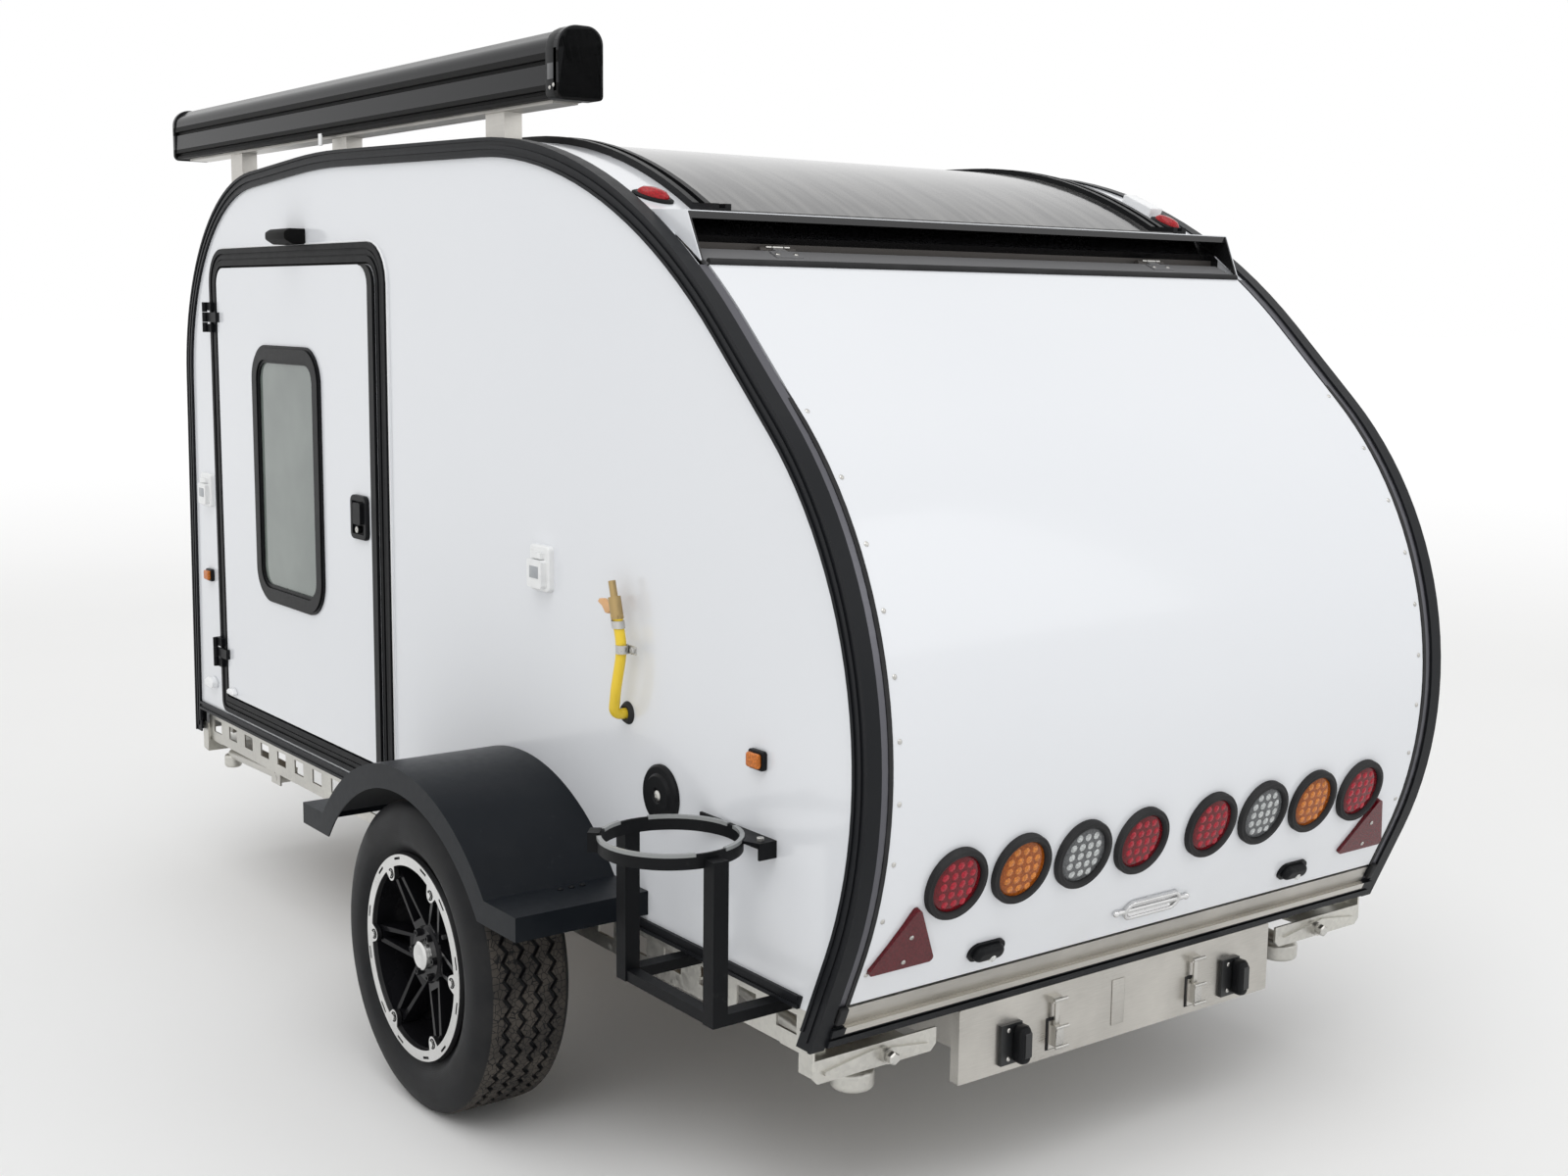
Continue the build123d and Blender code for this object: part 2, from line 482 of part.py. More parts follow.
triangle = fillet(RegularPolygon(REFLECTOR_SIDE / sqrt(3), 3, rotation=90).vertices(), 8)
NODES["triangle_reflectors"] = joined([
    extrude(on_tail(y, REFLECTOR_Z).offset(-5) * triangle, amount=12) - hatch for y in (REFLECTOR_Y, -REFLECTOR_Y)])

plate_lamp = extrude(Plane.XY.offset(-3) * SlotOverall(84, 38), amount=8)
hood_dome = extrude(Plane.XY.offset(5) * SlotOverall(68, 30), amount=14)
plate_lamp += fillet(hood_dome.faces().sort_by(Axis.Z)[-1].edges(), 10)
NODES["plate_lamps"] = joined([
    on_tail(y, PLATE_LAMP_Z).location * plate_lamp - hatch for y in (PLATE_LAMP_Y, -PLATE_LAMP_Y)])

# Hatch handle: an oval plate with a folding bail on two pivots
bail = extrude(Plane.XY.offset(2) * (SlotOverall(HANDLE_BAIL, HANDLE_DEEP)
                                     - SlotOverall(HANDLE_BAIL - 15, HANDLE_DEEP - 15)), amount=8)
bail = fillet(bail.faces().sort_by(Axis.Z)[-1].edges(), 3)
handle_plate = extrude(Plane.XY.offset(-3) * SlotOverall(HANDLE_BAIL - 4, HANDLE_DEEP - 4), amount=6)
pivot_pin = Pos(0, 0, 4) * (Rot(0, 90, 0) * Cylinder(5, HANDLE_PIN))
knobs = [Pos(way * HANDLE_PIN / 2, 0, 4) * Sphere(KNOB_R) for way in (-1, 1)]
handle = joined([bail, handle_plate, pivot_pin] + knobs)
NODES["hatch_handle"] = on_tail(0, HATCH_HANDLE_Z).location * handle - hatch

# Side doors, drawn on the left and mirrored. The frame is a ribbed lip, a liner and a stop.
SEAT = HALF + LEAF_PROUD
LIP = HALF + FRAME_PROUD
frame = slab(door_face(0) - door_face(FRAME_FACE), HALF, LIP)
for inset, width, height in FRAME_BEADS:
    frame += slab(door_face(inset) - door_face(inset + width), LIP, LIP + height)
frame += slab(door_face(FRAME_LAP) - door_face(FRAME_FACE), INNER, HALF)
frame += slab(door_face(FRAME_FACE) - door_face(FRAME_FACE + STOP_DEPTH), INNER, SEAT - LEAF_THICK - DOOR_GAP)
PIN_X, PIN_Y = DOOR_FRONT + PIN_AHEAD, HALF + PIN_OUT
pin_side = (PIN_Y - HINGE_R, PIN_Y - HINGE_R + STRAP_THICK)
fittings = []
for z in HINGE_LEVELS:
    for way in (-1, 1):
        near, far = z + way * (LEAF_HALF + PIN_GAP), z + way * (LEAF_HALF + PIN_GAP + KNUCKLE)
        frame += rod((PIN_X, PIN_Y, near), (PIN_X, PIN_Y, far), HINGE_R)
        frame += block((DOOR_FRONT - 30, PIN_X + HINGE_FOOT), (HALF, PIN_Y - 3), (z + way * (LEAF_HALF + DOOR_GAP), far))
    strap_z = (z - LEAF_HALF, z + LEAF_HALF)
    strap = rod((PIN_X, PIN_Y, strap_z[0]), (PIN_X, PIN_Y, strap_z[1]), HINGE_R)
    strap += block((DOOR_FRONT - STRAP_LENGTH, PIN_X), pin_side, strap_z)
    strap += block((DOOR_FRONT - STRAP_LENGTH, DOOR_FRONT - FRAME_FACE - 11), (SEAT, pin_side[0]), strap_z)
    fittings.append(strap)
NODES["door_frames"] = both(frame)

door = slab(door_face(FRAME_FACE + DOOR_GAP) - window_face(WINDOW_LAP), SEAT - LEAF_THICK, SEAT)
surround = slab(window_face(0) - window_face(WINDOW_FACE), SEAT, SEAT + WINDOW_PROUD)
bead_from, bead_to, bead_high = WINDOW_BEAD
surround += slab(window_face(bead_from) - window_face(bead_to), SEAT, SEAT + WINDOW_PROUD + bead_high)
surround += slab(window_face(WINDOW_LAP) - window_face(WINDOW_REBATE), SEAT - LEAF_THICK, SEAT)
fittings.append(surround)

# Door handle: a bezel with a recess, a paddle in it and the lock below
handle_x, handle_z = (HANDLE_REAR, HANDLE_REAR + HANDLE_WIDTH), (HANDLE_LOW, HANDLE_HIGH)
bezel = slab(rounded(handle_x, handle_z, 16), SEAT, SEAT + HANDLE_PROUD)
bezel = fillet(bezel.faces().sort_by(Axis.Y)[-1].edges(), 4)
bezel -= slab(rounded(handle_x, handle_z, 16, inset=HANDLE_RIM), SEAT + 3, SEAT + HANDLE_PROUD)
paddle_x = (HANDLE_REAR + HANDLE_RIM + 3, HANDLE_REAR + HANDLE_WIDTH - HANDLE_RIM - 20)
paddle_z = (HANDLE_LOW + HANDLE_RIM + 24, HANDLE_HIGH - HANDLE_RIM - 3)
bezel += slab(rounded(paddle_x, paddle_z, 6), SEAT, SEAT + HANDLE_PROUD + PADDLE_RISE)
lock_x, lock_z = HANDLE_REAR + HANDLE_WIDTH / 2, HANDLE_LOW + HANDLE_RIM + LOCK_R + 2
bezel += rod((lock_x, SEAT, lock_z), (lock_x, SEAT + HANDLE_PROUD + 2, lock_z), LOCK_R)
fittings.append(bezel)
glass = slab(window_face(WINDOW_REBATE), SEAT - GLASS_THICK, SEAT)
for side, side_shape in (("left", lambda shape: shape), ("right", across)):
    NODES["door_" + side] = side_shape(door)
    NODES["door_" + side + "_fittings"] = side_shape(joined(fittings))
    NODES["door_" + side + "_glass"] = side_shape(glass)

# Lamp over the door: a wedge with rounded ends
lamp_housing = along([(HALF + out, z) for out, z in AWNING_LAMP], LAMP_X, LAMP_X + LAMP_LONG)
NODES["door_lamp"] = fillet(lamp_housing.edges().filter_by(Axis.Z), 3)

# Sockets with a sprung flap, marker lamps and the round service cap
sockets = []
for x, z in SOCKETS:
    plate = slab(rounded((x - 38, x + 38), (z - 46, z + 46), 10), HALF, HALF + 12)
    flap = slab(rounded((x - 28, x + 28), (z - 38, z + 18), 6), HALF + 12, HALF + 24)
    sockets.append(fillet(plate.faces().sort_by(Axis.Y)[-1].edges(), 4) + flap
                   + block((x - 20, x + 20), (HALF + 12, HALF + 20), (z + 20, z + 32)))
NODES["sockets"] = joined(sockets)
markers = []
for x, z in SIDE_MARKERS:
    base = slab(rounded((x - 38, x + 38), (z - 22, z + 22), 8), HALF, HALF + 8)
    lens = slab(rounded((x - 32, x + 32), (z - 17, z + 17), 7), HALF + 8, HALF + 20)
    markers.append(base + fillet(lens.faces().sort_by(Axis.Y)[-1].edges(), 5))
NODES["side_markers"] = both(joined(markers))
NODES["service_disc"] = on_wall(DISC_X, DISC_Z).location * turned(DISC_PROFILE)

# Wheels, drawn about +Z with the outer side up and then set on the left stub axle
half_width = TYRE_WIDTH / 2
tyre_side = [(TYRE_BEAD_R, BEAD_HALF), (TYRE_BEAD_R + 18, BEAD_HALF + 9), (TYRE_BEAD_R + 43, half_width),
             (TYRE_BEAD_R + 85, half_width), (TYRE_R, half_width - 20)]
tyre_bends = [12, 34, 60, 26]
tyre_line = FilletPolyline(*[(r, 0, w) for r, w in tyre_side], *[(r, 0, -w) for r, w in reversed(tyre_side)],
                           radius=tyre_bends + tyre_bends[::-1])
tyre = revolve(make_face((tyre_line + Line(tyre_line @ 1, tyre_line @ 0)).edges()), axis=Axis.Z)

rim_in = TYRE_BEAD_R - RIM_SHEET
rim = turned([(rim_in, -RIM_HALF), (TYRE_BEAD_R, -RIM_HALF), (TYRE_BEAD_R, RIM_HALF), (rim_in, RIM_HALF)])
rim += turned([(0, HUB_BACK), (HUB_CORE_R, HUB_BACK), (HUB_CORE_R, SPOKE_FOOT), (HUB_R, SPOKE_FOOT),
               (HUB_R, HUB_FACE - 8), (HUB_R - 8, HUB_FACE), (0, HUB_FACE)])
tip = rim_in + 2
spoke_plan = make_face(Polyline((SPOKE_ROOT, SPOKE_ROOT_HALF), (SPOKE_ROOT, -SPOKE_ROOT_HALF),
                                (tip, -SPOKE_TIP_HALF), (tip, SPOKE_TIP_HALF), close=True).edges())
pocket_plan = make_face(Polyline((SPOKE_ROOT + 22, SPOKE_ROOT_HALF - SPOKE_RIB),
                                 (SPOKE_ROOT + 22, SPOKE_RIB - SPOKE_ROOT_HALF),
                                 (tip - 20, SPOKE_RIB - SPOKE_TIP_HALF), (tip - 20, SPOKE_TIP_HALF - SPOKE_RIB),
                                 close=True).edges())
spoke_side = make_face(Polyline((SPOKE_ROOT, 0, SPOKE_FOOT), (SPOKE_ROOT, 0, HUB_FACE - 6),
                                (tip - 14, 0, RIM_HALF - 4), (tip, 0, RIM_HALF - 4), (tip, 0, RIM_HALF - 44),
                                (SPOKE_ROOT + 60, 0, SPOKE_FOOT + 6), close=True).edges())
spoke = extrude(spoke_plan, amount=RIM_HALF) & extrude(spoke_side, amount=SPOKE_ROOT_HALF, both=True)
spoke -= Pos(0, 0, HUB_FACE - 24) * extrude(pocket_plan, amount=RIM_HALF)
for k in range(SPOKES):
    rim += Rot(0, 0, k * 360 / SPOKES) * spoke

# Machined ring with a bolted lug over each spoke and slots between them, and the hub cap
ring_in, ring_top = RING_R - RING_WIDTH, RIM_HALF + RING_THICK_OUT
ring = turned([(ring_in, RIM_HALF), (RING_R, RIM_HALF), (RING_R - 3, ring_top), (ring_in + 2, ring_top)])
lug = make_hull((Pos(LUG_REACH, 0) * Circle(LUG_R)
                 + Pos(ring_in + 8, 0) * Rectangle(4, 3 * LUG_R)).edges())
lug = Pos(0, 0, RIM_HALF) * extrude(lug, amount=RING_THICK_OUT)
lug += Pos(LUG_REACH, 0, ring_top) * extrude(RegularPolygon(BOLT_R, 6), amount=BOLT_HIGH)
slot = Pos(SLOT_R, 0, ring_top) * Box(SLOT_WIDTH, SLOT_LENGTH, 2 * SLOT_DEEP)
for k in range(SPOKES):
    turn = k * 360 / SPOKES
    ring += Rot(0, 0, turn) * lug
    for way in (-1, 1):
        ring -= Rot(0, 0, turn + 30 + way * SLOT_TURN) * slot
ring += turned([(0, HUB_FACE), (CAP_R, HUB_FACE), (CAP_R - 3, HUB_FACE + CAP_HIGH - 3),
                (CAP_R - 8, HUB_FACE + CAP_HIGH), (0, HUB_FACE + CAP_HIGH - 2)])
axis_y = HALF + WHEEL_OUT
wheel_place = Plane(origin=(WHEEL_X, axis_y, TYRE_R), x_dir=(-1, 0, 0), z_dir=(0, 1, 0)).location
for name, shape in (("tyre", tyre), ("rim", rim), ("rim_ring", ring)):
    NODES[name + "_left"] = wheel_place * shape
    NODES[name + "_right"] = across(wheel_place * shape)


def fender_profile(inset):
    """Arch standing on two steps, moved inwards by inset and open below once it is."""
    low = STEP_LOW - 10 if inset else STEP_LOW
    rear, front, top = FENDER_REAR + inset, FENDER_FRONT - inset, STEP_TOP - inset
    steps = flat([(rear, low), (front, low), (front, top), (rear, top)])
    above = flat([(rear, top), (front, top), (front, REACH), (rear, REACH)])
    return steps + (Pos(ARCH_X, ARCH_Z + CABIN_BASE) * Circle(ARCH_R - inset) & above)


# Fenders: bent sheet with an arch, two steps and a face plate
fender = slab(fender_profile(0), HALF, HALF + FENDER_OUT)
fender -= slab(fender_profile(FENDER_SHEET), INNER, HALF + FENDER_OUT - FENDER_SHEET)
fender -= slab(Pos(ARCH_X, ARCH_Z + CABIN_BASE) * Circle(ARCH_INNER_R), HALF + FENDER_OUT / 2, HALF + 2 * FENDER_OUT)
NODES["fender_left"] = fender
NODES["fender_right"] = across(fender)

# Axle: square beam under the rails with trailing arms and stub axles
wheel_z = TYRE_R - CABIN_BASE
rail_low = SIDE_BASE - RAIL_HEIGHT
beam_x, beam_z = WHEEL_X + AXLE_AHEAD, rail_low - AXLE_SIDE / 2
axle = block((beam_x - AXLE_SIDE / 2, beam_x + AXLE_SIDE / 2), (-HALF, HALF), (rail_low - AXLE_SIDE, rail_low))
arm = slab(make_hull((Pos(beam_x, beam_z + CABIN_BASE) * Circle(ARM_BEAM_R)
                      + Pos(WHEEL_X, TYRE_R) * Circle(ARM_HUB_R)).edges()), HALF, HALF + ARM_THICK)
axle += both(arm + cross_bar(WHEEL_X, (HALF + ARM_THICK, axis_y - STUB_GAP), wheel_z, STUB_R))
NODES["axle"] = axle

# Chassis: two channel rails with square cut-outs, and cross members between them
rail = block((RAIL_REAR, RAIL_FRONT), (RAIL_Y - RAIL_SHEET, RAIL_Y), (rail_low, SIDE_BASE))
for z in ((rail_low, rail_low + RAIL_SHEET), (SIDE_BASE - RAIL_SHEET, SIDE_BASE)):
    rail += block((RAIL_REAR, RAIL_FRONT), (RAIL_Y - RAIL_FLANGE, RAIL_Y), z)
cut_z = (SIDE_BASE + rail_low) / 2
for k in range(int((RAIL_FRONT - RAIL_REAR) / CUT_PITCH)):
    x = RAIL_REAR + CUT_PITCH * (k + 0.5)
    rail -= block((x - CUT_WIDTH / 2, x + CUT_WIDTH / 2), (RAIL_Y - 2 * RAIL_SHEET, RAIL_Y + RAIL_SHEET),
                  (cut_z - CUT_HEIGHT / 2, cut_z + CUT_HEIGHT / 2))
NODES["chassis_rails"] = both(rail)
member_half = RAIL_Y - RAIL_FLANGE
member_low = SIDE_BASE - MEMBER_HEIGHT
NODES["chassis_members"] = joined([
    block((x - MEMBER_WIDTH / 2, x + MEMBER_WIDTH / 2), (-member_half, member_half), (member_low, SIDE_BASE))
    for x in MEMBERS])

# V drawbar: two box bars under the members, cut where they meet
bar_run = Vector(BAR_FRONT_X - BAR_REAR_X, BAR_FRONT_Y - BAR_REAR_Y)
bar_plane = Plane(origin=(BAR_REAR_X, BAR_REAR_Y, member_low - BAR_HEIGHT / 2 + CABIN_BASE), x_dir=(0, 0, 1),
                  z_dir=(bar_run.X, bar_run.Y, 0))
bar_solid = extrude(bar_plane * Rectangle(BAR_HEIGHT, BAR_WIDTH), amount=bar_run.length)
bar_bore = extrude(bar_plane * Rectangle(BAR_HEIGHT - 2 * BAR_SHEET, BAR_WIDTH - 2 * BAR_SHEET),
                   amount=bar_run.length)
middle_cut = block((BAR_REAR_X, BAR_FRONT_X + BAR_WIDTH), (-HALF, BAR_NEAREST_Y), (-CABIN_BASE, CABIN_BASE))
NODES["drawbars"] = both(bar_solid - bar_bore - middle_cut)

# Coupling: foot between the bars, tapering neck, round head over the ball and a lever
ball_z = COUPLING_Z - CABIN_BASE
head_low, head_high = ball_z - HEAD_BELOW, ball_z + HEAD_ABOVE
foot_span = (BAR_FRONT_X - 130, BAR_FRONT_X + 20)
foot = block(foot_span, (-60, 60), (member_low, member_low + 8))
foot += block(foot_span, (2 - BAR_NEAREST_Y, BAR_NEAREST_Y - 2), (member_low - BAR_HEIGHT, member_low))
neck = slab(flat([(foot_span[0] + 10, member_low + 8), (foot_span[1], member_low + 8), (COUPLING_X - 60, head_low),
                  (COUPLING_X, head_low), (COUPLING_X, head_high), (foot_span[1], head_high - 6),
                  (foot_span[0] + 10, head_high - 26)]), -NECK_HALF, NECK_HALF)
head_r = BALL_R + HEAD_WALL
head = rod((COUPLING_X, 0, head_low), (COUPLING_X, 0, head_high), head_r)
dome = Sphere(head_r) & Pos(0, 0, head_r / 4) * Cylinder(head_r, head_r / 2)
head += Pos(COUPLING_X, 0, head_high + CABIN_BASE) * dome
lever_x = COUPLING_X - 40
lever_end, lever_top = lever_x - LEVER_LENGTH, head_high + LEVER_RISE
lever = flat([(lever_x, head_high - 6), (lever_x, head_high + 14), (lever_end + 30, lever_top),
              (lever_end, lever_top), (lever_end, lever_top - 6),
              (lever_x - 48, head_high + 6), (lever_x - 48, head_high - 16)])
coupling = foot + neck + head + slab(lever, -LEVER_HALF, LEVER_HALF)
coupling -= Pos(COUPLING_X, 0, COUPLING_Z) * Sphere(BALL_R)
coupling -= rod((COUPLING_X, 0, head_low - 20), (COUPLING_X, 0, ball_z), BALL_R)
NODES["coupling"] = coupling

# Jockey wheel: clamp on the right bar, tube with its crank, swivelling fork and wheel
bar_y = BAR_REAR_Y + bar_run.Y / bar_run.X * (JOCKEY_X - BAR_REAR_X)
tube_y = -(bar_y + BAR_WIDTH / 2 + CLAMP_WALL + JOCKEY_TUBE_R)
clamp_z = (member_low - CLAMP_LOW, member_low - CLAMP_TOP)
clamp = block((JOCKEY_X - CLAMP_LENGTH / 2, JOCKEY_X + CLAMP_LENGTH / 2),
              (tube_y - JOCKEY_TUBE_R - CLAMP_WALL, -bar_y), clamp_z)
clamp = fillet(clamp.edges().filter_by(Axis.Z).group_by(Axis.Y)[0], 16)
clamp -= rod((JOCKEY_X, tube_y, clamp_z[0] - 10), (JOCKEY_X, tube_y, clamp_z[1] + 10), JOCKEY_TUBE_R + 0.4)
NODES["jockey_clamp"] = clamp - across(bar_solid)

axle_level = JOCKEY_WHEEL_R - CABIN_BASE
fork_top = axle_level + JOCKEY_WHEEL_R + FORK_ABOVE
tube_top = member_low + JOCKEY_TUBE_HIGH
crank_z = tube_top + 32
crank_x = JOCKEY_X - CRANK_REACH
tube = rod((JOCKEY_X, tube_y, fork_top + 2 * FORK_SHEET), (JOCKEY_X, tube_y, tube_top), JOCKEY_TUBE_R)
tube += rod((JOCKEY_X, tube_y, tube_top), (JOCKEY_X, tube_y, crank_z + CRANK_R), CRANK_R + 1)
tube += rod((JOCKEY_X, tube_y, crank_z), (crank_x, tube_y, crank_z), CRANK_R)
tube += rod((crank_x, tube_y, crank_z - CRANK_R), (crank_x, tube_y, crank_z + CRANK_GRIP), CRANK_R + 3)
NODES["jockey_tube"] = tube

fork_half = JOCKEY_WHEEL_WIDTH / 2 + FORK_SIDE
fork_x = JOCKEY_X - JOCKEY_TRAIL
fork_out = fork_half + FORK_SHEET
fork = block((fork_x - 22, JOCKEY_X + 26), (tube_y - fork_out, tube_y + fork_out),
             (fork_top, fork_top + FORK_SHEET + 3))
blade = flat([(fork_x - 22, fork_top), (fork_x - 16, axle_level - 16), (fork_x + 16, axle_level - 16),
              (JOCKEY_X + 26, fork_top)])
for y in (tube_y - fork_out, tube_y + fork_half):
    fork += slab(blade, y, y + FORK_SHEET)
fork += cross_bar(fork_x, (tube_y - fork_out - 3, tube_y + fork_out + 3), axle_level, JOCKEY_AXLE_R)
NODES["jockey_fork"] = fork
tread = JOCKEY_WHEEL_WIDTH / 2
jockey_wheel = turned([(JOCKEY_AXLE_R + 0.1, -tread), (26, -tread), (32, -tread + 9), (62, -tread + 9),
                       (68, -tread + 2), (88, -tread + 3), (JOCKEY_WHEEL_R, -tread + 15),
                       (JOCKEY_WHEEL_R, tread - 15), (88, tread - 3), (68, tread - 2), (62, tread - 9),
                       (32, tread - 9), (26, tread), (JOCKEY_AXLE_R + 0.1, tread)])
NODES["jockey_wheel"] = Plane(origin=(fork_x, tube_y, axle_level + CABIN_BASE), z_dir=(0, 1, 0)).location * jockey_wheel

# Corner steadies: a pressed plate under each corner, and a leg that folds up towards it with its foot behind
pivot_z = rail_low - STEADY_DROP
plate_y = (HALF - PLATE_IN, HALF - PLATE_OUT)
under_rail = (rail_low - CHEEK_THICK, rail_low)
mid_z = rail_low - PLATE_HIGH / 2
brackets = []
STEADIES = [  # end, x of the corner plate, direction to the leg's pivot, leg in from the wall, its fall, foot radius
    ("rear", STEADY_FROM_END, 1, 166, 44, 40), ("front", CABIN_LENGTH - STEADY_FROM_END, -1, 64, 12, 24)]
for end, tip, way, leg_in, sag, foot_r in STEADIES:
    steady_y = HALF - leg_in
    pivot_x, foot_x_at = tip + way * STEADY_PIVOT, tip + way * (STEADY_PIVOT - STEADY_LEG)
    plate = block((tip, tip + way * PLATE_THICK), plate_y, (rail_low - PLATE_HIGH, rail_low))
    plate = chamfer(plate.edges().filter_by(Axis.X).group_by(Axis.Z)[0], 12)
    plate += block((tip, tip + way * FLANGE_LONG), (plate_y[1] - PLATE_THICK, plate_y[1]),
                   (rail_low - PLATE_HIGH + 12, rail_low + FLANGE_RISE))
    rib = make_face(Polyline((plate_y[0] + 22, mid_z - 2 + CABIN_BASE), (steady_y + 26, mid_z + 15 + CABIN_BASE),
                             (plate_y[1] - 24, mid_z + CABIN_BASE), (plate_y[1] - 24, mid_z - 7 + CABIN_BASE),
                             (steady_y + 26, mid_z - 10 + CABIN_BASE), close=True).edges())
    rib_plane = Plane(origin=(tip, 0, 0), x_dir=(0, 1, 0), z_dir=(1, 0, 0))
    plate += extrude(rib_plane * rib, amount=-way * 6)
    plate += block((tip, tip + way * 110), (steady_y - 50, RAIL_Y - RAIL_SHEET), under_rail)
    plate += block((tip, pivot_x + way * 30), (steady_y - 26, steady_y + 26), under_rail)
    plate += block((pivot_x - 30, pivot_x + 30), (steady_y - 26, RAIL_Y - RAIL_SHEET), under_rail)
    for cheek_y in (steady_y - CHEEK_GAP - CHEEK_THICK, steady_y + CHEEK_GAP):
        plate += block((pivot_x - 30, pivot_x + 30), (cheek_y, cheek_y + CHEEK_THICK), (pivot_z - 16, rail_low))
    plate += cross_bar(pivot_x, (steady_y - 26, steady_y + 26), pivot_z, HINGE_R)
    plate += rod((tip + way * 30, steady_y, mid_z), (tip - way * 30, steady_y, mid_z), 8)
    plate += rod((tip - way * 5, steady_y, mid_z), (tip - way * 16, steady_y, mid_z), 14)
    brackets.append(plate)
    leg = cross_bar(pivot_x, (steady_y - LEAF_HALF, steady_y + LEAF_HALF), pivot_z, 15)
    leg += rod((pivot_x - way * 10, steady_y, pivot_z), (foot_x_at, steady_y, pivot_z - sag), STEADY_R)
    foot_z = pivot_z - sag - FOOT_HIGH
    pad = rod((foot_x_at, steady_y, foot_z), (foot_x_at, steady_y, foot_z + FOOT_HIGH), foot_r)
    leg += fillet(pad.edges(), 9)
    leg -= cross_bar(pivot_x, (steady_y - 30, steady_y + 30), pivot_z, HINGE_R + 0.1)
    NODES[f"steady_{end}_left"] = leg
    NODES[f"steady_{end}_right"] = across(leg)
NODES["steady_brackets"] = both(joined(brackets))

# Under-floor drawer in its sleeve
sleeve_x = (SLEEVE_SET_BACK, DRAWER_DEPTH)
sleeve_half, sleeve_low = DRAWER_HALF - SLEEVE_NARROWER, DRAWER_LOW + SLEEVE_RISE
sleeve = block(sleeve_x, (-sleeve_half, sleeve_half), (sleeve_low, member_low))
sleeve -= block((-REACH, DRAWER_DEPTH - SHEET), (SHEET - sleeve_half, sleeve_half - SHEET),
                (sleeve_low + SHEET, member_low - SHEET))
NODES["drawer_sleeve"] = sleeve

tray_half = sleeve_half - SHEET - SLIDE_GAP
tray_low, tray_high = sleeve_low + SHEET + SLIDE_GAP, member_low - SHEET - SLIDE_GAP
tray_x = (SLEEVE_SET_BACK, DRAWER_DEPTH - SHEET - SLIDE_GAP)
tray = block(tray_x, (-tray_half, tray_half), (tray_low, tray_high))
tray -= block((tray_x[0] + SHEET, tray_x[1] - SHEET), (SHEET - tray_half, tray_half - SHEET),
              (tray_low + SHEET, tray_high + SHEET))
face_x = (SLEEVE_SET_BACK - SLIDE_GAP - DRAWER_FACE - SHEET, SLEEVE_SET_BACK - SLIDE_GAP)
front = block(face_x, (-DRAWER_HALF, DRAWER_HALF), (DRAWER_LOW, DRAWER_HIGH))
front = fillet(front.edges().filter_by(Axis.X), 3)
web = block((face_x[1], tray_x[0] + SHEET), (-tray_half, tray_half), (tray_low, tray_high - 20))
NODES["drawer"] = tray + web + front

# Drawer pulls: a back plate with a bar bowed out from it; toggle latches between them
pull_z = (DRAWER_LOW + 15, DRAWER_LOW + 91)
pull = block((face_x[0] - 8, face_x[0]), (-26, 26), pull_z)
bow = flat([(face_x[0], pull_z[1] - 4), (face_x[0] - 24, pull_z[1] - 4), (face_x[0] - 34, pull_z[1] - 16),
            (face_x[0] - 34, pull_z[0] + 16), (face_x[0] - 24, pull_z[0] + 4), (face_x[0], pull_z[0] + 4)])
grip_gap = flat([(face_x[0] - 8, pull_z[1] - 14), (face_x[0] - 20, pull_z[1] - 14), (face_x[0] - 24, pull_z[1] - 20),
                 (face_x[0] - 24, pull_z[0] + 20), (face_x[0] - 20, pull_z[0] + 14), (face_x[0] - 8, pull_z[0] + 14)])
pull += slab(bow, -26, -10) - slab(grip_gap, -26, -10)
latch = block((face_x[0] - 4, face_x[0]), (-13, 13), (DRAWER_LOW + 18, DRAWER_LOW + 72))
latch += block((face_x[0] - 18, face_x[0] - 4), (-9, 9), (DRAWER_LOW + 26, DRAWER_LOW + 64))
latch += block((face_x[0] - 12, face_x[0] - 8), (-5, 5), (DRAWER_LOW + 60, DRAWER_LOW + 112))
latch += block((face_x[0] - 12, face_x[0]), (-11, 11), (DRAWER_LOW + 108, DRAWER_LOW + 120))
NODES["drawer_fittings"] = joined([Pos(0, y, 0) * shape for at, shape in ((PULL_Y, pull), (LATCH_Y, latch))
                                   for y in (at, -at)])

# Gas bottle ring on two posts beside the left wall
ring_y = HALF + BOTTLE_OUT
band_ring = Pos(BOTTLE_X, ring_y, RING_TOP - RING_BAND + CABIN_BASE) * extrude(
    Circle(BOTTLE_R + RING_SHEET) - Circle(BOTTLE_R), amount=RING_BAND)
post_x = BOTTLE_R + RING_SHEET + POST / 2 - 3
holder = band_ring + block((BOTTLE_X - 94, BOTTLE_X + 94), (HALF, HALF + RING_SHEET), (RING_TOP - RING_BAND - 1, RING_TOP))
base_z = (POST_LOW, POST_LOW + 20)
for x in (BOTTLE_X - post_x, BOTTLE_X + post_x):
    post_span = (x - POST / 2, x + POST / 2)
    holder += block(post_span, (ring_y - POST / 2, ring_y + POST / 2), (POST_LOW, RING_TOP - POST_BELOW))
    holder += block(post_span, (RAIL_Y, ring_y), base_z)
holder += block((BOTTLE_X - post_x, BOTTLE_X + post_x), (ring_y - 12, ring_y + 12), base_z)
tie_x = BOTTLE_X - TIE_REAR
tie = make_face(Polyline((tie_x, HALF), (tie_x, HALF + TIE_OUT), (tie_x + 35, HALF + TIE_OUT + 14),
                         (BOTTLE_X - 35, HALF + 12), (BOTTLE_X + 5, HALF), close=True).edges())
tie = Pos(0, 0, RING_TOP - RING_SHEET + CABIN_BASE) * extrude(tie, amount=RING_SHEET)
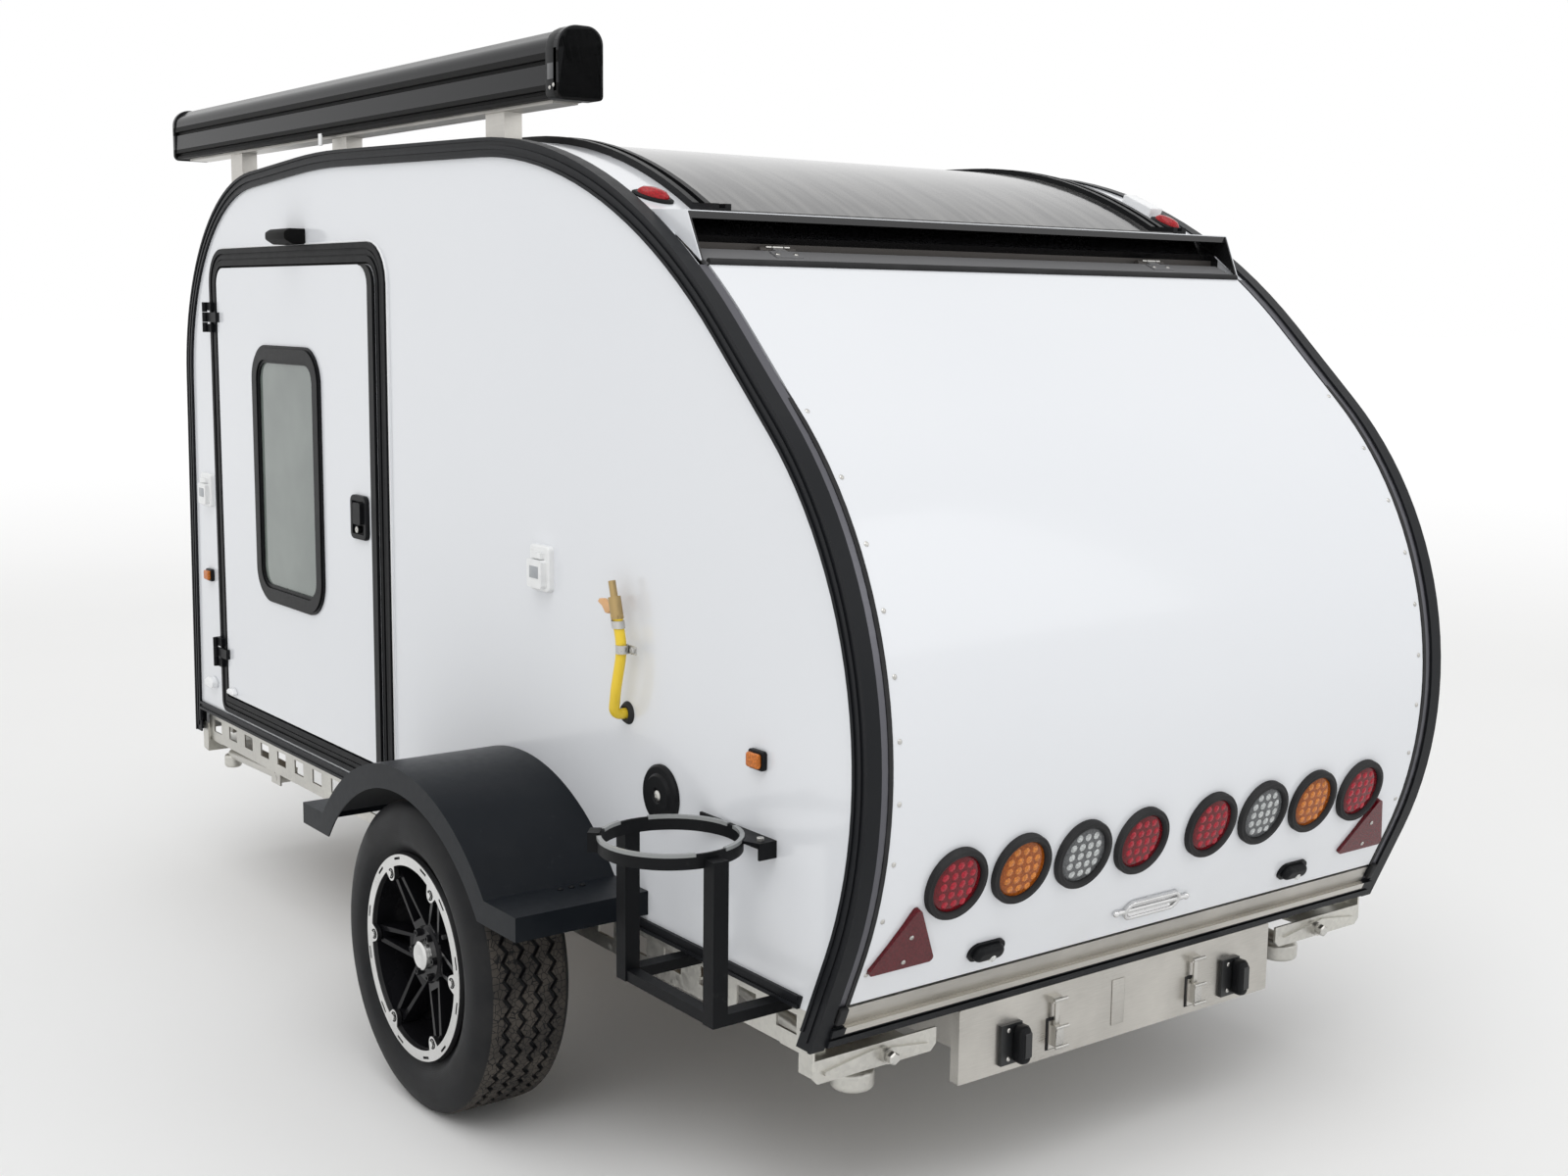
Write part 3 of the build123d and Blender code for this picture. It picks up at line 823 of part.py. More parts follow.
holder += tie - Pos(BOTTLE_X, ring_y, RING_TOP + CABIN_BASE) * Cylinder(BOTTLE_R, 2 * RING_BAND)
holder += block((tie_x, tie_x + RING_SHEET), (HALF, HALF + TIE_OUT), (RING_TOP - TIE_FLANGE, RING_TOP))
clasp = Pos(BOTTLE_R + CLASP_DEEP / 2 + 1, 0, 0) * Box(CLASP_DEEP, CLASP_WIDE, CLASP_WIDE)
holder += Pos(BOTTLE_X, ring_y, RING_TOP - RING_BAND / 2 + CABIN_BASE) * (Rot(0, 0, CLASP_TURN) * clasp)
NODES["bottle_ring"] = holder

# Gas hose out of the wall, up to its clip and valve
hose_points = [(x, HALF + out, z + CABIN_BASE) for x, out, z in HOSE_ROUTE]
hose_path = FilletPolyline(*hose_points, radius=HOSE_BENDS)
gas_hose = sweep(Plane(origin=hose_path @ 0, z_dir=hose_path % 0) * Circle(HOSE_R), path=hose_path)
NODES["gas_hose"] = gas_hose
end, run = hose_path @ 1, hose_path % 1
valve = extrude(Plane(origin=end, z_dir=run) * Circle(VALVE_R), amount=VALVE_LONG)
valve += extrude(Plane(origin=end + run * VALVE_LONG, z_dir=run) * Circle(SPIGOT_R), amount=SPIGOT_LONG)
NODES["gas_valve"] = valve

# Awning case: a rounded cover over a lead bar, end caps, and feet that carry it on a rail
case_points = [(HALF + out, AWNING_HIGH - down) for out, down, _ in AWNING_SECTION]
case_bends = [radius for *_, radius in AWNING_SECTION]
case = along(case_points, AWNING_REAR + AWNING_CAP, AWNING_FRONT - AWNING_CAP, case_bends)
cap_y = (HALF + CAP_MARGIN, HALF - AWNING_DEPTH - CAP_MARGIN)
cap_z = (AWNING_LOW - CAP_MARGIN, AWNING_HIGH + CAP_MARGIN)
cap_points = [(cap_y[0], cap_z[0]), (cap_y[0], cap_z[1]), (cap_y[1], cap_z[1]), (cap_y[1], cap_z[0])]
caps = [along(cap_points, x, x + AWNING_CAP, CAP_BENDS) for x in (AWNING_REAR, AWNING_FRONT - AWNING_CAP)]
NODES["awning_case"] = joined([case] + caps)
foot_y = (HALF - AWNING_FOOT_IN - FOOT_WIDE, HALF - AWNING_FOOT_IN)
feet = [block((x - AWNING_FOOT / 2, x + AWNING_FOOT / 2), foot_y, (SHOULDER_Z - FOOT_WIDE, AWNING_LOW))
        for x in AWNING_FEET]
rail_y = (foot_y[0] - 8, foot_y[1] + 8)
awning_rail = block((AWNING_REAR + 60, AWNING_FRONT - 60), rail_y, (AWNING_LOW - RAIL_THICK, AWNING_LOW))
NODES["awning_brackets"] = joined(feet + [awning_rail]) - cabin_solid

ORIGIN_X = (COUPLING_X + head_r + edge_trim.bounding_box().min.X) / 2
print("origin", ORIGIN_X)
for name, shape in NODES.items():
    export_step(Pos(-ORIGIN_X, 0, 0) * shape, f"parts/{name}.step")
    box = shape.bounding_box()
    print(name, len(shape.solids()), round(shape.volume / 1e3), box.min, box.max)
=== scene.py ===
import math

import bmesh
import bpy
from mathutils import Matrix, Vector


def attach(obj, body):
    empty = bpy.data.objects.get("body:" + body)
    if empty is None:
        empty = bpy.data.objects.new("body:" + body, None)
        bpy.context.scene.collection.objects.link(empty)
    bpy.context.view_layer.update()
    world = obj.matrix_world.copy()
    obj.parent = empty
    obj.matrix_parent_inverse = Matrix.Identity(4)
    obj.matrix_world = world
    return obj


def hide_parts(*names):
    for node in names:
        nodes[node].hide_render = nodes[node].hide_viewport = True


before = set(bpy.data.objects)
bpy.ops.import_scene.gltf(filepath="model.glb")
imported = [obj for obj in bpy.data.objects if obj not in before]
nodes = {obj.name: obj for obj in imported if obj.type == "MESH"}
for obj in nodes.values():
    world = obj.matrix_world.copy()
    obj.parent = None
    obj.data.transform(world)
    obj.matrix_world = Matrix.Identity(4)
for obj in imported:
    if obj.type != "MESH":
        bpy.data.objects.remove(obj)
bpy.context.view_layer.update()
bpy.ops.object.select_all(action="DESELECT")

# Places in the row frame, in metres
TAIL_X = -1.9695925         # the cabin's rear low corner
BASE = 0.391                # the cabin's low edge above the ground
HALF = 0.75                 # half the cabin's width
TAIL_ARC = (-1.31846, 0.8648, 0.786)    # centre x and z, and radius, of the tail's bulge
TAIL_BEND_Z = 0.5515        # the tail is straight below this level
TAIL_LEAN = 0.43459         # how far the straight tail goes rearwards for its height
WHEEL_X, WHEEL_Y, WHEEL_Z = -0.9865925, 0.91, 0.316

MM = 0.001
WALL = HALF / MM            # the left wall's plane, in millimetres from the middle


def at(x, y, z):
    """Row-frame place of a point given forward of the tail corner, left of the middle and above the cabin's
    low edge, in millimetres."""
    return Vector((TAIL_X + x / 1000, y / 1000, BASE + z / 1000))


# Shader maths

class Socket:
    """A node's output that takes part in sums: each operation adds its Math node."""

    def __init__(self, out):
        self.out = out

    def maths(self, operation, *values):
        node = self.out.id_data.nodes.new("ShaderNodeMath")
        node.operation = operation
        for slot, value in zip(node.inputs, values):
            join(slot, value)
        return Socket(node.outputs[0])

    def __add__(self, other):
        return self.maths("ADD", self, other)

    def __sub__(self, other):
        return self.maths("SUBTRACT", self, other)

    def __rsub__(self, other):
        return self.maths("SUBTRACT", other, self)

    def __mul__(self, other):
        return self.maths("MULTIPLY", self, other)

    def __rtruediv__(self, other):
        return self.maths("DIVIDE", other, self)

    def __gt__(self, other):
        return self.maths("GREATER_THAN", self, other)

    def __lt__(self, other):
        return self.maths("LESS_THAN", self, other)

    __radd__ = __add__
    __rmul__ = __mul__

    def within(self, low, high):
        """1 between the two values and 0 elsewhere."""
        return (self > low) * (self < high)

    def high(self, other):
        return self.maths("MAXIMUM", self, other)

    def size(self):
        return self.maths("ABSOLUTE", self)

    def root(self):
        return self.maths("SQRT", self)

    def sine(self):
        return self.maths("SINE", self)

    def ease(self, start, end):
        """0 before start, 1 after end and smooth between."""
        node = self.out.id_data.nodes.new("ShaderNodeMapRange")
        node.interpolation_type = "SMOOTHSTEP"
        for name, value in (("Value", self), ("From Min", start), ("From Max", end)):
            join(node.inputs[name], value)
        return Socket(node.outputs[0])


def join(slot, value):
    """Links a socket to an input, or sets the input to a plain value."""
    if isinstance(value, Socket):
        slot.id_data.links.new(value.out, slot)
    else:
        slot.default_value = value


class Finish:
    """A material in the making: its nodes, its surface shader and the place on the piece."""

    def __init__(self, name, colour, **surface):
        self.material = bpy.data.materials.new(name)
        self.material.use_nodes = True
        self.tree = self.material.node_tree
        self.surface = self.tree.nodes["Principled BSDF"]
        self.put(Base_Color=(*colour, 1), **surface)
        self.place = self.node("ShaderNodeTexCoord", out="Object")
        self.x, self.y, self.z = (self.node("ShaderNodeSeparateXYZ", out=axis, Vector=self.place)
                                  for axis in "XYZ")

    def node(self, kind, settings=(), out=0, **sockets):
        """A node of any kind: its settings, then its sockets by name, an underscore standing for a space, or
        by number after an n."""
        node = self.tree.nodes.new(kind)
        for name, value in dict(settings).items():
            setattr(node, name, value)
        for name, value in sockets.items():
            numbered = name[0] == "n" and name[1:].isdigit()
            join(node.inputs[int(name[1:]) if numbered else name.replace("_", " ")], value)
        return Socket(node.outputs[out])

    def put(self, **sockets):
        """Sets or links inputs of the surface shader, an underscore standing for a space."""
        for name, value in sockets.items():
            join(self.surface.inputs[name.replace("_", " ")], value)

    def stretched(self, x=1, y=1, z=1):
        """The place on the piece, multiplied along each axis."""
        return self.node("ShaderNodeVectorMath", {"operation": "MULTIPLY"}, n0=self.place, n1=(x, y, z))

    def noise(self, scale, detail=2, place=None, roughness=0.5):
        """Soft clouds from 0 to 1."""
        return self.node("ShaderNodeTexNoise", out="Fac", Vector=place or self.place, Scale=scale,
                         Detail=detail, Roughness=roughness)

    def cells(self, scale, feature="F1", out="Distance"):
        """Cells about scattered points, as a distance or as a colour for each."""
        return self.node("ShaderNodeTexVoronoi", {"feature": feature}, out=out, Vector=self.place,
                         Scale=scale)

    def blend(self, factor, first, second):
        """Colour that goes from first to second as factor goes from 0 to 1."""
        first, second = ((*c, 1) if isinstance(c, tuple) else c for c in (first, second))
        return self.node("ShaderNodeMix", {"data_type": "RGBA"}, out=2, n0=factor, n6=first, n7=second)

    def bump(self, height, depth, strength=1.0):
        """Surface relief: height from 0 to 1 stands for this depth in metres."""
        self.put(Normal=self.node("ShaderNodeBump", Height=height, Distance=depth, Strength=strength))

    def on(self, *names):
        """Gives the material to these nodes of the CAD model."""
        for name in names:
            slots = nodes[name].data.materials
            slots.clear()
            slots.append(self.material)
        return self


def tinted(colour, factor):
    """The colour made darker or brighter."""
    return tuple(channel * factor for channel in colour)


def axle_distance(finish):
    """Distance from the wheels' axis."""
    dx, dz = finish.x - WHEEL_X, finish.z - WHEEL_Z
    return (dx * dx + dz * dz).root()


# Finishes

HOOD_MOUTH_X, HOOD_MOUTH_Z = (0.398, 0.54), (1.3005, 1.3892)    # forward of the tail and above the low edge
HOOD_START = 0.39
HOOD_MOUTH_HALF, HOOD_SPREAD = 0.7088, 0.1032       # half its width at the start and how it widens from there


def painted_white():
    """Gloss white sheet: a faint peel, a thin film of dust low down, and black painted shade in the rain
    hood's mouth.
    """
    white = Finish("cabin_white", (0.78, 0.8, 0.83), Roughness=0.18, Coat_Weight=0.3, Coat_Roughness=0.06)
    drift = white.noise(1.3, 3)
    dust = (0.72 - white.z).ease(0, 0.35) * white.noise(7, 3).ease(0.3, 0.9) * 0.22
    clean = white.blend(drift, (0.765, 0.785, 0.82), (0.8, 0.818, 0.845))
    sheet = white.blend(dust, clean, (0.6, 0.59, 0.55))
    forward, level = white.x - TAIL_X, white.z - BASE
    # The hood's mouth is painted black: painted shade under the hood.
    mouth = white.y.size() < (forward - HOOD_START) * HOOD_SPREAD + HOOD_MOUTH_HALF
    mouth = mouth * forward.within(*HOOD_MOUTH_X) * level.within(*HOOD_MOUTH_Z)
    white.put(Base_Color=white.blend(mouth, sheet, (0.012, 0.012, 0.013)))
    white.put(Roughness=0.15 + drift * 0.07 + dust * 0.6)
    white.bump(white.noise(260, 1), 0.00004, 0.5)
    return white


def black_moulding(name, colour, grain, roughness):
    """Moulded or powder-coated black: fine grain, with pale scuffs and dust."""
    black = Finish(name, colour, Roughness=roughness, Specular_IOR_Level=0.12)
    scuff = black.noise(34, 5, roughness=0.7).ease(0.6, 0.85)
    dust = black.noise(5, 3).ease(0.4, 0.9)
    black.put(Base_Color=black.blend(scuff * 0.25 + dust * 0.06, colour, (0.1, 0.1, 0.098)))
    black.put(Roughness=roughness - 0.06 + black.noise(60, 2) * 0.12 + scuff * 0.1)
    black.bump(black.noise(grain, 2), 0.00012, 0.6)
    return black


def trim_moulding():
    """Black edge trim; on the sill its upper rib is bare metal."""
    colour = (0.012, 0.013, 0.015)
    trim = black_moulding("trim_plastic", colour, 700, 0.38)
    rib = (trim.z - BASE).within(0.0245, 0.0405) * (trim.y.size() < 0.699) * (trim.x < TAIL_X + 0.04)
    lines = trim.noise(30, 3, place=trim.stretched(1, 0.1, 14))
    bare = trim.blend(lines, (0.52, 0.5, 0.46), (0.66, 0.64, 0.6))
    trim.put(Base_Color=trim.blend(rib, colour, bare), Metallic=rib)
    return trim


def gloss_black(name, colour, roughness, coat):
    """Gloss coat over metal with faint polishing haze."""
    gloss = Finish(name, colour, Roughness=roughness, Specular_IOR_Level=0.12, Coat_Weight=coat,
                   Coat_Roughness=0.04)
    haze = gloss.noise(14, 4).ease(0.3, 0.8)
    gloss.put(Roughness=roughness + haze * 0.1)
    gloss.put(Base_Color=gloss.blend(haze * 0.5, colour, tinted(colour, 2.2)))
    gloss.bump(gloss.noise(120, 1), 0.00003, 0.5)
    return gloss


def awning_paint():
    """Gloss black, with a dull, darker band of painted shade above and below the awning's lead bar."""
    paint = gloss_black("black_gloss_metal", (0.008, 0.008, 0.0095), 0.16, 0.1)
    level = paint.z - BASE
    # Painted shade: under the case's round top and below the lead bar the paint is darker and dull.
    shade_bands = level.within(1.675, 1.697) + (level < 1.637)
    paint.put(Coat_Weight=0.1 - shade_bands * 0.1, Roughness=0.2 + shade_bands * 0.35)
    paint.put(Base_Color=paint.blend(shade_bands, (0.014, 0.0145, 0.016), (0.002, 0.002, 0.002)))
    return paint


def brushed(name, colour, along, roughness, dark_from=None):
    """Metal with fine lines along one axis, given as the stretch of the pattern, and dull patches.
    Beyond dark_from either side of the middle plane it is stained dark grey."""
    metal = Finish(name, colour, Metallic=1.0, Roughness=roughness)
    lines = metal.noise(30, 3, place=metal.stretched(*along))
    patch = metal.noise(7, 4).ease(0.35, 0.75)
    tone = metal.blend(lines * 0.5 + patch * 0.4, tinted(colour, 0.72), tinted(colour, 1.12))
    if dark_from:
        tone = metal.blend(metal.y.size() > dark_from, tone, (0.13, 0.13, 0.145))
    metal.put(Base_Color=tone, Roughness=roughness - 0.08 + lines * 0.14 + patch * 0.1)
    metal.bump(lines, 0.00004, 0.5)
    return metal


def dipped_zinc():
    """Hot-dip galvanised steel: crystal spangle, dull grey patches and a little white bloom."""
    zinc = Finish("galvanised", (0.62, 0.61, 0.57), Metallic=0.8, Roughness=0.4)
    grey = zinc.node("ShaderNodeSeparateColor", out="Red", Color=zinc.cells(140.0, out="Color"))
    patch = zinc.noise(4, 4).ease(0.3, 0.75)
    bloom = zinc.noise(18, 5, roughness=0.7).ease(0.62, 0.8)
    metal = zinc.blend(grey * 0.4 + patch * 0.6, (0.5, 0.49, 0.46), (0.68, 0.67, 0.62))
    zinc.put(Base_Color=zinc.blend(bloom * 0.4, metal, (0.66, 0.66, 0.63)))
    zinc.put(Roughness=0.32 + grey * 0.12 + bloom * 0.2, Metallic=0.9 - bloom * 0.4)
    zinc.bump(grey * 0.3 + zinc.noise(60, 2) * 0.7, 0.00012, 0.5)
    return zinc


def lens(name, colour, roughness=0.08, body=None):
    """Clear coloured plastic over small optics, and black where it is nearer the middle plane than body."""
    clear = Finish(name, colour, Roughness=roughness, Coat_Weight=0.15, Coat_Roughness=0.03,
                   Specular_IOR_Level=0.25)
    optics = clear.cells(260)
    glow = clear.blend(optics.ease(0.2, 0.7), tinted(colour, 1.15), tinted(colour, 0.75))
    if body:
        glow = clear.blend((clear.y.size() - body).ease(0, 0.0006), (0.014, 0.014, 0.015), glow)
    clear.put(Base_Color=glow)
    clear.bump(1 - optics, 0.0003, 0.35)
    return clear


def tinted_pane():
    """Grey-green acrylic window with a faint film of dust."""
    pane = Finish("tinted_glass", (0.2, 0.235, 0.215), Roughness=0.05, Coat_Weight=0.5, Alpha=0.86,
                  Coat_Roughness=0.02)
    film = pane.noise(3, 3).ease(0.3, 0.8)
    pane.put(Base_Color=pane.blend(film, (0.17, 0.2, 0.185), (0.27, 0.31, 0.285)))
    pane.put(Roughness=0.03 + film * 0.06)
    return pane


def rubber(name, colour, roughness=0.62):
    """Dull black rubber with dust in its grain."""
    soft = Finish(name, colour, Roughness=roughness, Specular_IOR_Level=0.18)
    dust = soft.noise(11, 4).ease(0.35, 0.8)
    soft.put(Base_Color=soft.blend(dust * 0.4, colour, tuple(c * 0.6 + 0.055 for c in colour)))
    soft.put(Roughness=roughness - 0.05 + dust * 0.18)
    soft.bump(soft.noise(420, 2), 0.0001, 0.5)
    return soft


RINGS, CUTS = 1570, 5200                # how close the sidewall's rings and the rim's cuts lie, per metre
SIDEWALL_R, TREAD_START = 0.292, 0.3125
RIM_FACE, CAP_R = 0.0948, 0.042         # the rim's turned face out from the wheel's middle, and its cap


def tyre_rubber():
    """Sidewall with fine moulded rings, and a dusty tread cut by sipes."""
    tyre = Finish("tyre_rubber", (0.02, 0.02, 0.022), Specular_IOR_Level=0.18)
    radius = axle_distance(tyre)
    rings = (radius * RINGS).sine()
    wall = (SIDEWALL_R - radius).ease(0, 0.01)
    worn = (radius - TREAD_START).ease(0, 0.0015)
    dust = tyre.noise(16, 5).ease(0.3, 0.75)
    side = tyre.blend(dust * 0.3, (0.009, 0.0095, 0.011), (0.045, 0.044, 0.042))
    sipes = tyre.cells(85, "DISTANCE_TO_EDGE").ease(0.02, 0.07)
    tyre.put(Base_Color=tyre.blend(worn * sipes * (0.45 + dust * 0.55), side, (0.085, 0.075, 0.065)))
    tyre.put(Roughness=0.48 + dust * 0.15 + worn * 0.25)
    tyre.bump(rings * wall * 0.25 + tyre.noise(500, 2) * 0.3 + sipes * worn, 0.0004, 0.6)
    return tyre


def machined_rim():
    """Bright turned face and centre cap with fine concentric cuts; the ring's sides are black."""
    metal = Finish("rim_machined", (0.72, 0.72, 0.72), Metallic=1.0, Roughness=0.25)
    radius = axle_distance(metal)
    haze = metal.noise(9, 4).ease(0.3, 0.8)
    face = (metal.y.size() - (WHEEL_Y + RIM_FACE)).ease(0, 0.0006).high(radius < CAP_R)
    bright = metal.blend(haze, (0.78, 0.78, 0.77), (0.62, 0.62, 0.61))
    metal.put(Base_Color=metal.blend(face, (0.008, 0.008, 0.009), bright), Metallic=face)
    metal.put(Roughness=0.34 - face * 0.14 + haze * 0.12)
    metal.bump((radius * CUTS).sine() * 0.5 + 0.5, 0.00003, 0.5)
    return metal


def plywood():
    """Brown floor board with its grain along the cabin."""
    wood = Finish("floor_board", (0.2, 0.15, 0.1), Roughness=0.6)
    grain = wood.noise(6, 6, place=wood.stretched(1, 14, 14), roughness=0.6)
    wood.put(Base_Color=wood.blend(grain, (0.12, 0.085, 0.055), (0.3, 0.23, 0.155)))
    wood.put(Roughness=0.5 + grain * 0.2)
    wood.bump(grain, 0.0004, 0.6)
    return wood


def dark_film():
    """Glossy dark film on the roof with faint streaks of run-off."""
    film = Finish("roof_film", (0.06, 0.06, 0.065), Roughness=0.12, Coat_Weight=0.5, Coat_Roughness=0.05)
    streak = film.noise(5, 4, place=film.stretched(0.4, 7, 1))
    film.put(Base_Color=film.blend(streak.ease(0.3, 0.7), (0.022, 0.022, 0.024), (0.12, 0.118, 0.115)))
    film.put(Roughness=0.08 + streak * 0.16)
    film.bump(film.noise(180, 2), 0.00005, 0.5)
    return film


def plain_plastic(name, colour, roughness=0.3):
    """Smooth plastic with a little grime."""
    plastic = Finish(name, colour, Roughness=roughness, Coat_Weight=0.15)
    grime = plastic.noise(28, 4).ease(0.5, 0.85)
    plastic.put(Base_Color=plastic.blend(grime * 0.3, colour, tinted(colour, 0.7)))
    plastic.put(Roughness=roughness + grime * 0.15)
    plastic.bump(plastic.noise(300, 1), 0.00005, 0.5)
    return plastic


def latch_and_pull(reach):
    """Bright latches inside this distance from the middle plane, black pulls outside it."""
    both = Finish("drawer_fittings", (0.013, 0.014, 0.016), Roughness=0.36)
    bright = both.y.size() < reach
    haze = both.noise(30, 4)
    black = both.blend(haze * 0.3, (0.012, 0.013, 0.014), (0.03, 0.03, 0.03))
    both.put(Base_Color=both.blend(bright, black, both.blend(haze, (0.5, 0.49, 0.46), (0.68, 0.66, 0.62))))
    both.put(Metallic=bright, Roughness=0.3 + haze * 0.15)
    both.bump(both.noise(400, 2), 0.00006, 0.5)
    return both


painted_white().on("side_wall_left", "side_wall_right", "front_wall", "roof", "rain_hood", "hatch",
                   "door_left", "door_right")
moulding = black_moulding("black_plastic", (0.008, 0.0085, 0.0095), 700, 0.36)
moulding.on("roof_profiles", "plate_lamps", "door_left_fittings", "door_right_fittings", "door_lamp",
            "service_disc")
trim_moulding().on("edge_trim")
powder = black_moulding("black_metal", (0.005, 0.0055, 0.0065), 420, 0.46).on("door_frames", "bottle_ring")
# The header and the hinge leaves are paler than their own near-black and dark grey: painted light, so they
# show through the shade under the hood.
black_moulding("header_painted_light", (0.1, 0.092, 0.086), 420, 0.4).on("hatch_header")
black_moulding("ledge_painted_light", (0.2, 0.2, 0.205), 420, 0.36).on("hatch_hinge_leaves")
black_moulding("fender_steel", (0.0055, 0.0075, 0.0105), 300, 0.34).on("fender_left", "fender_right")
case_coat = awning_paint().on("awning_case")
rim_coat = gloss_black("rim_black", (0.006, 0.006, 0.007), 0.2, 0.12).on("rim_left", "rim_right")
machined_rim().on("rim_ring_left", "rim_ring_right")
tyre = tyre_rubber().on("tyre_left", "tyre_right")
dark_film().on("roof_panel")
plywood().on("floor")
brushed("bare_aluminium", (0.66, 0.64, 0.6), (1, 14, 14), 0.36).on("awning_brackets")
brushed("frame_metal", (0.58, 0.56, 0.52), (14, 1, 14), 0.36, dark_from=0.7).on("rear_frame")
stainless = brushed("stainless", (0.6, 0.58, 0.54), (14, 1, 14), 0.3).on("drawer_sleeve", "drawer")
latch_and_pull(0.215).on("drawer_fittings")
brushed("chrome", (0.8, 0.8, 0.8), (4, 1, 4), 0.12).on("hatch_handle")
brass = brushed("brass", (0.5, 0.36, 0.17), (6, 6, 1), 0.34).on("gas_valve")
dipped_zinc().on("axle", "chassis_rails", "chassis_members", "drawbars", "coupling", "jockey_clamp",
                 "jockey_tube", "jockey_fork", "steady_brackets", "steady_rear_left", "steady_rear_right",
                 "steady_front_left", "steady_front_right")
red_lens = lens("lamp_red", (0.42, 0.012, 0.018)).on("tail_lamps", "roof_markers")
lens("lamp_amber", (0.72, 0.2, 0.012), body=0.757).on("side_markers")
lens("reflector_red", (0.105, 0.003, 0.008)).on("triangle_reflectors")
tinted_pane().on("door_left_glass", "door_right_glass")
plain_plastic("white_plastic", (0.85, 0.86, 0.86)).on("sockets")
plain_plastic("yellow_hose", (0.85, 0.6, 0.03), 0.45).on("gas_hose")
rubber("jockey_rubber", (0.05, 0.05, 0.052)).on("jockey_wheel")
seal = rubber("seal_rubber", (0.018, 0.018, 0.019))
steel = brushed("bright_steel", (0.62, 0.61, 0.58), (8, 8, 8), 0.28)
bead_white = plain_plastic("bead_white", (0.88, 0.89, 0.9))


# Modelling

def start(operator, **settings):
    """A fresh primitive, selected all over in edit mode."""
    if bpy.context.mode != "OBJECT":
        bpy.ops.object.mode_set(mode="OBJECT")
    bpy.ops.object.select_all(action="DESELECT")
    operator(**settings)
    bpy.ops.object.mode_set(mode="EDIT")
    bpy.ops.mesh.select_all(action="SELECT")
    return bpy.context.object


def turned(profile, steps=32, ring=False):
    """Round piece about +Z, drawn out circle by circle from its (radius, height) profile in millimetres.
    A ring's profile goes round to where it started; any other piece is closed at both ends."""
    (radius, height), *others = profile + profile[:1] if ring else profile
    piece = start(bpy.ops.mesh.primitive_circle_add, vertices=steps, radius=radius * MM,
                  fill_type="NOTHING" if ring else "NGON", location=(0, 0, height * MM))
    for next_radius, next_height in others:
        rise = (0, 0, (next_height - height) * MM)
        bpy.ops.mesh.extrude_edges_move(TRANSFORM_OT_translate={"value": rise})
        grow = next_radius / radius
        bpy.ops.transform.resize(value=(grow, grow, 1), center_override=(0, 0, next_height * MM))
        radius, height = next_radius, next_height
        if not radius:
            bpy.ops.mesh.merge(type="CENTER")
            return piece
    if not ring:
        bpy.ops.mesh.edge_face_add()
    return piece


def cut_out(points, depth):
    """Plate with this outline in its own x and y and this thickness along z, in millimetres."""
    corners = [Vector((x, y, 0)) * MM for x, y in points]
    piece = start(bpy.ops.mesh.primitive_plane_add, size=MM)
    bpy.ops.mesh.merge(type="CENTER")
    bpy.ops.transform.translate(value=corners[0])
    for a, b in zip(corners, corners[1:]):
        bpy.ops.mesh.extrude_vertices_move(TRANSFORM_OT_translate={"value": b - a})
    bpy.ops.mesh.select_all(action="SELECT")
    bpy.ops.mesh.edge_face_add()
    bpy.ops.mesh.extrude_region_move(TRANSFORM_OT_translate={"value": (0, 0, depth * MM)})
    bpy.ops.mesh.select_all(action="SELECT")
    return piece


def bar(low, high, edge=0.0, segments=2):
    """Box between two corners in millimetres, its edges rounded."""
    low, high = Vector(low) * MM, Vector(high) * MM
    piece = start(bpy.ops.mesh.primitive_cube_add, size=1, location=(low + high) / 2, scale=high - low)
    if edge:
        bpy.ops.mesh.bevel(offset=edge * MM, segments=segments, affect="EDGES")
    return piece


def bent(corners, steps=5):
    """Outline through corners given as (x, y, radius), each rounded by its radius."""
    points = []
    for (x, y, radius), before, after in zip(corners, corners[-1:] + corners[:-1], corners[1:] + corners[:1]):
        here = Vector((x, y))
        back, on = ((Vector(other[:2]) - here).normalized() for other in (before, after))
        half = back.angle(on) / 2
        centre = here + (back + on).normalized() * (radius / math.sin(half))
        first, last = (way * (radius / math.tan(half)) + here - centre for way in (back, on))
        start_angle = math.atan2(first.y, first.x)
        sweep = (math.atan2(last.y, last.x) - start_angle + math.pi) % math.tau - math.pi
        angles = [start_angle + sweep * k / steps for k in range(steps + 1)]
        points += [(centre.x + radius * math.cos(a), centre.y + radius * math.sin(a)) for a in angles]
    return points


def around(radius, angle):
    """Point on a circle about the origin, its angle in degrees."""
    return radius * math.cos(math.radians(angle)), radius * math.sin(math.radians(angle))


def sector(inner, outer, start_angle, end_angle, step=8):
    """Outline of a length of flat ring between two angles in degrees."""
    count = max(1, round((end_angle - start_angle) / step))
    angles = [start_angle + k * (end_angle - start_angle) / count for k in range(count + 1)]
    return [around(outer, a) for a in angles] + [around(inner, a) for a in reversed(angles)]


def tilt(turn, centre):
    """Turns what is selected by a rotation about a point."""
    for axis, angle in zip("XYZ", turn.to_euler("XYZ")):
        if abs(angle) > 0.0001:
            bpy.ops.transform.rotate(value=-angle, orient_axis=axis, orient_type="GLOBAL",
                                     center_override=centre)


def piped(spots, radius, sides=12):
    """Round bar along these places in the row frame."""
    runs = [(b - a).normalized() for a, b in zip(spots, spots[1:])]
    aims = [runs[0]] + [(a + b).normalized() for a, b in zip(runs, runs[1:])] + [runs[-1]]
    piece = start(bpy.ops.mesh.primitive_circle_add, vertices=sides, radius=radius * MM, fill_type="NGON",
                  location=spots[0], rotation=aims[0].to_track_quat("Z", "Y").to_euler())
    for a, b, aim, next_aim in zip(spots, spots[1:], aims, aims[1:]):
        bpy.ops.mesh.extrude_edges_move(TRANSFORM_OT_translate={"value": b - a})
        tilt(aim.rotation_difference(next_aim), b)
    bpy.ops.mesh.edge_face_add()
    return piece


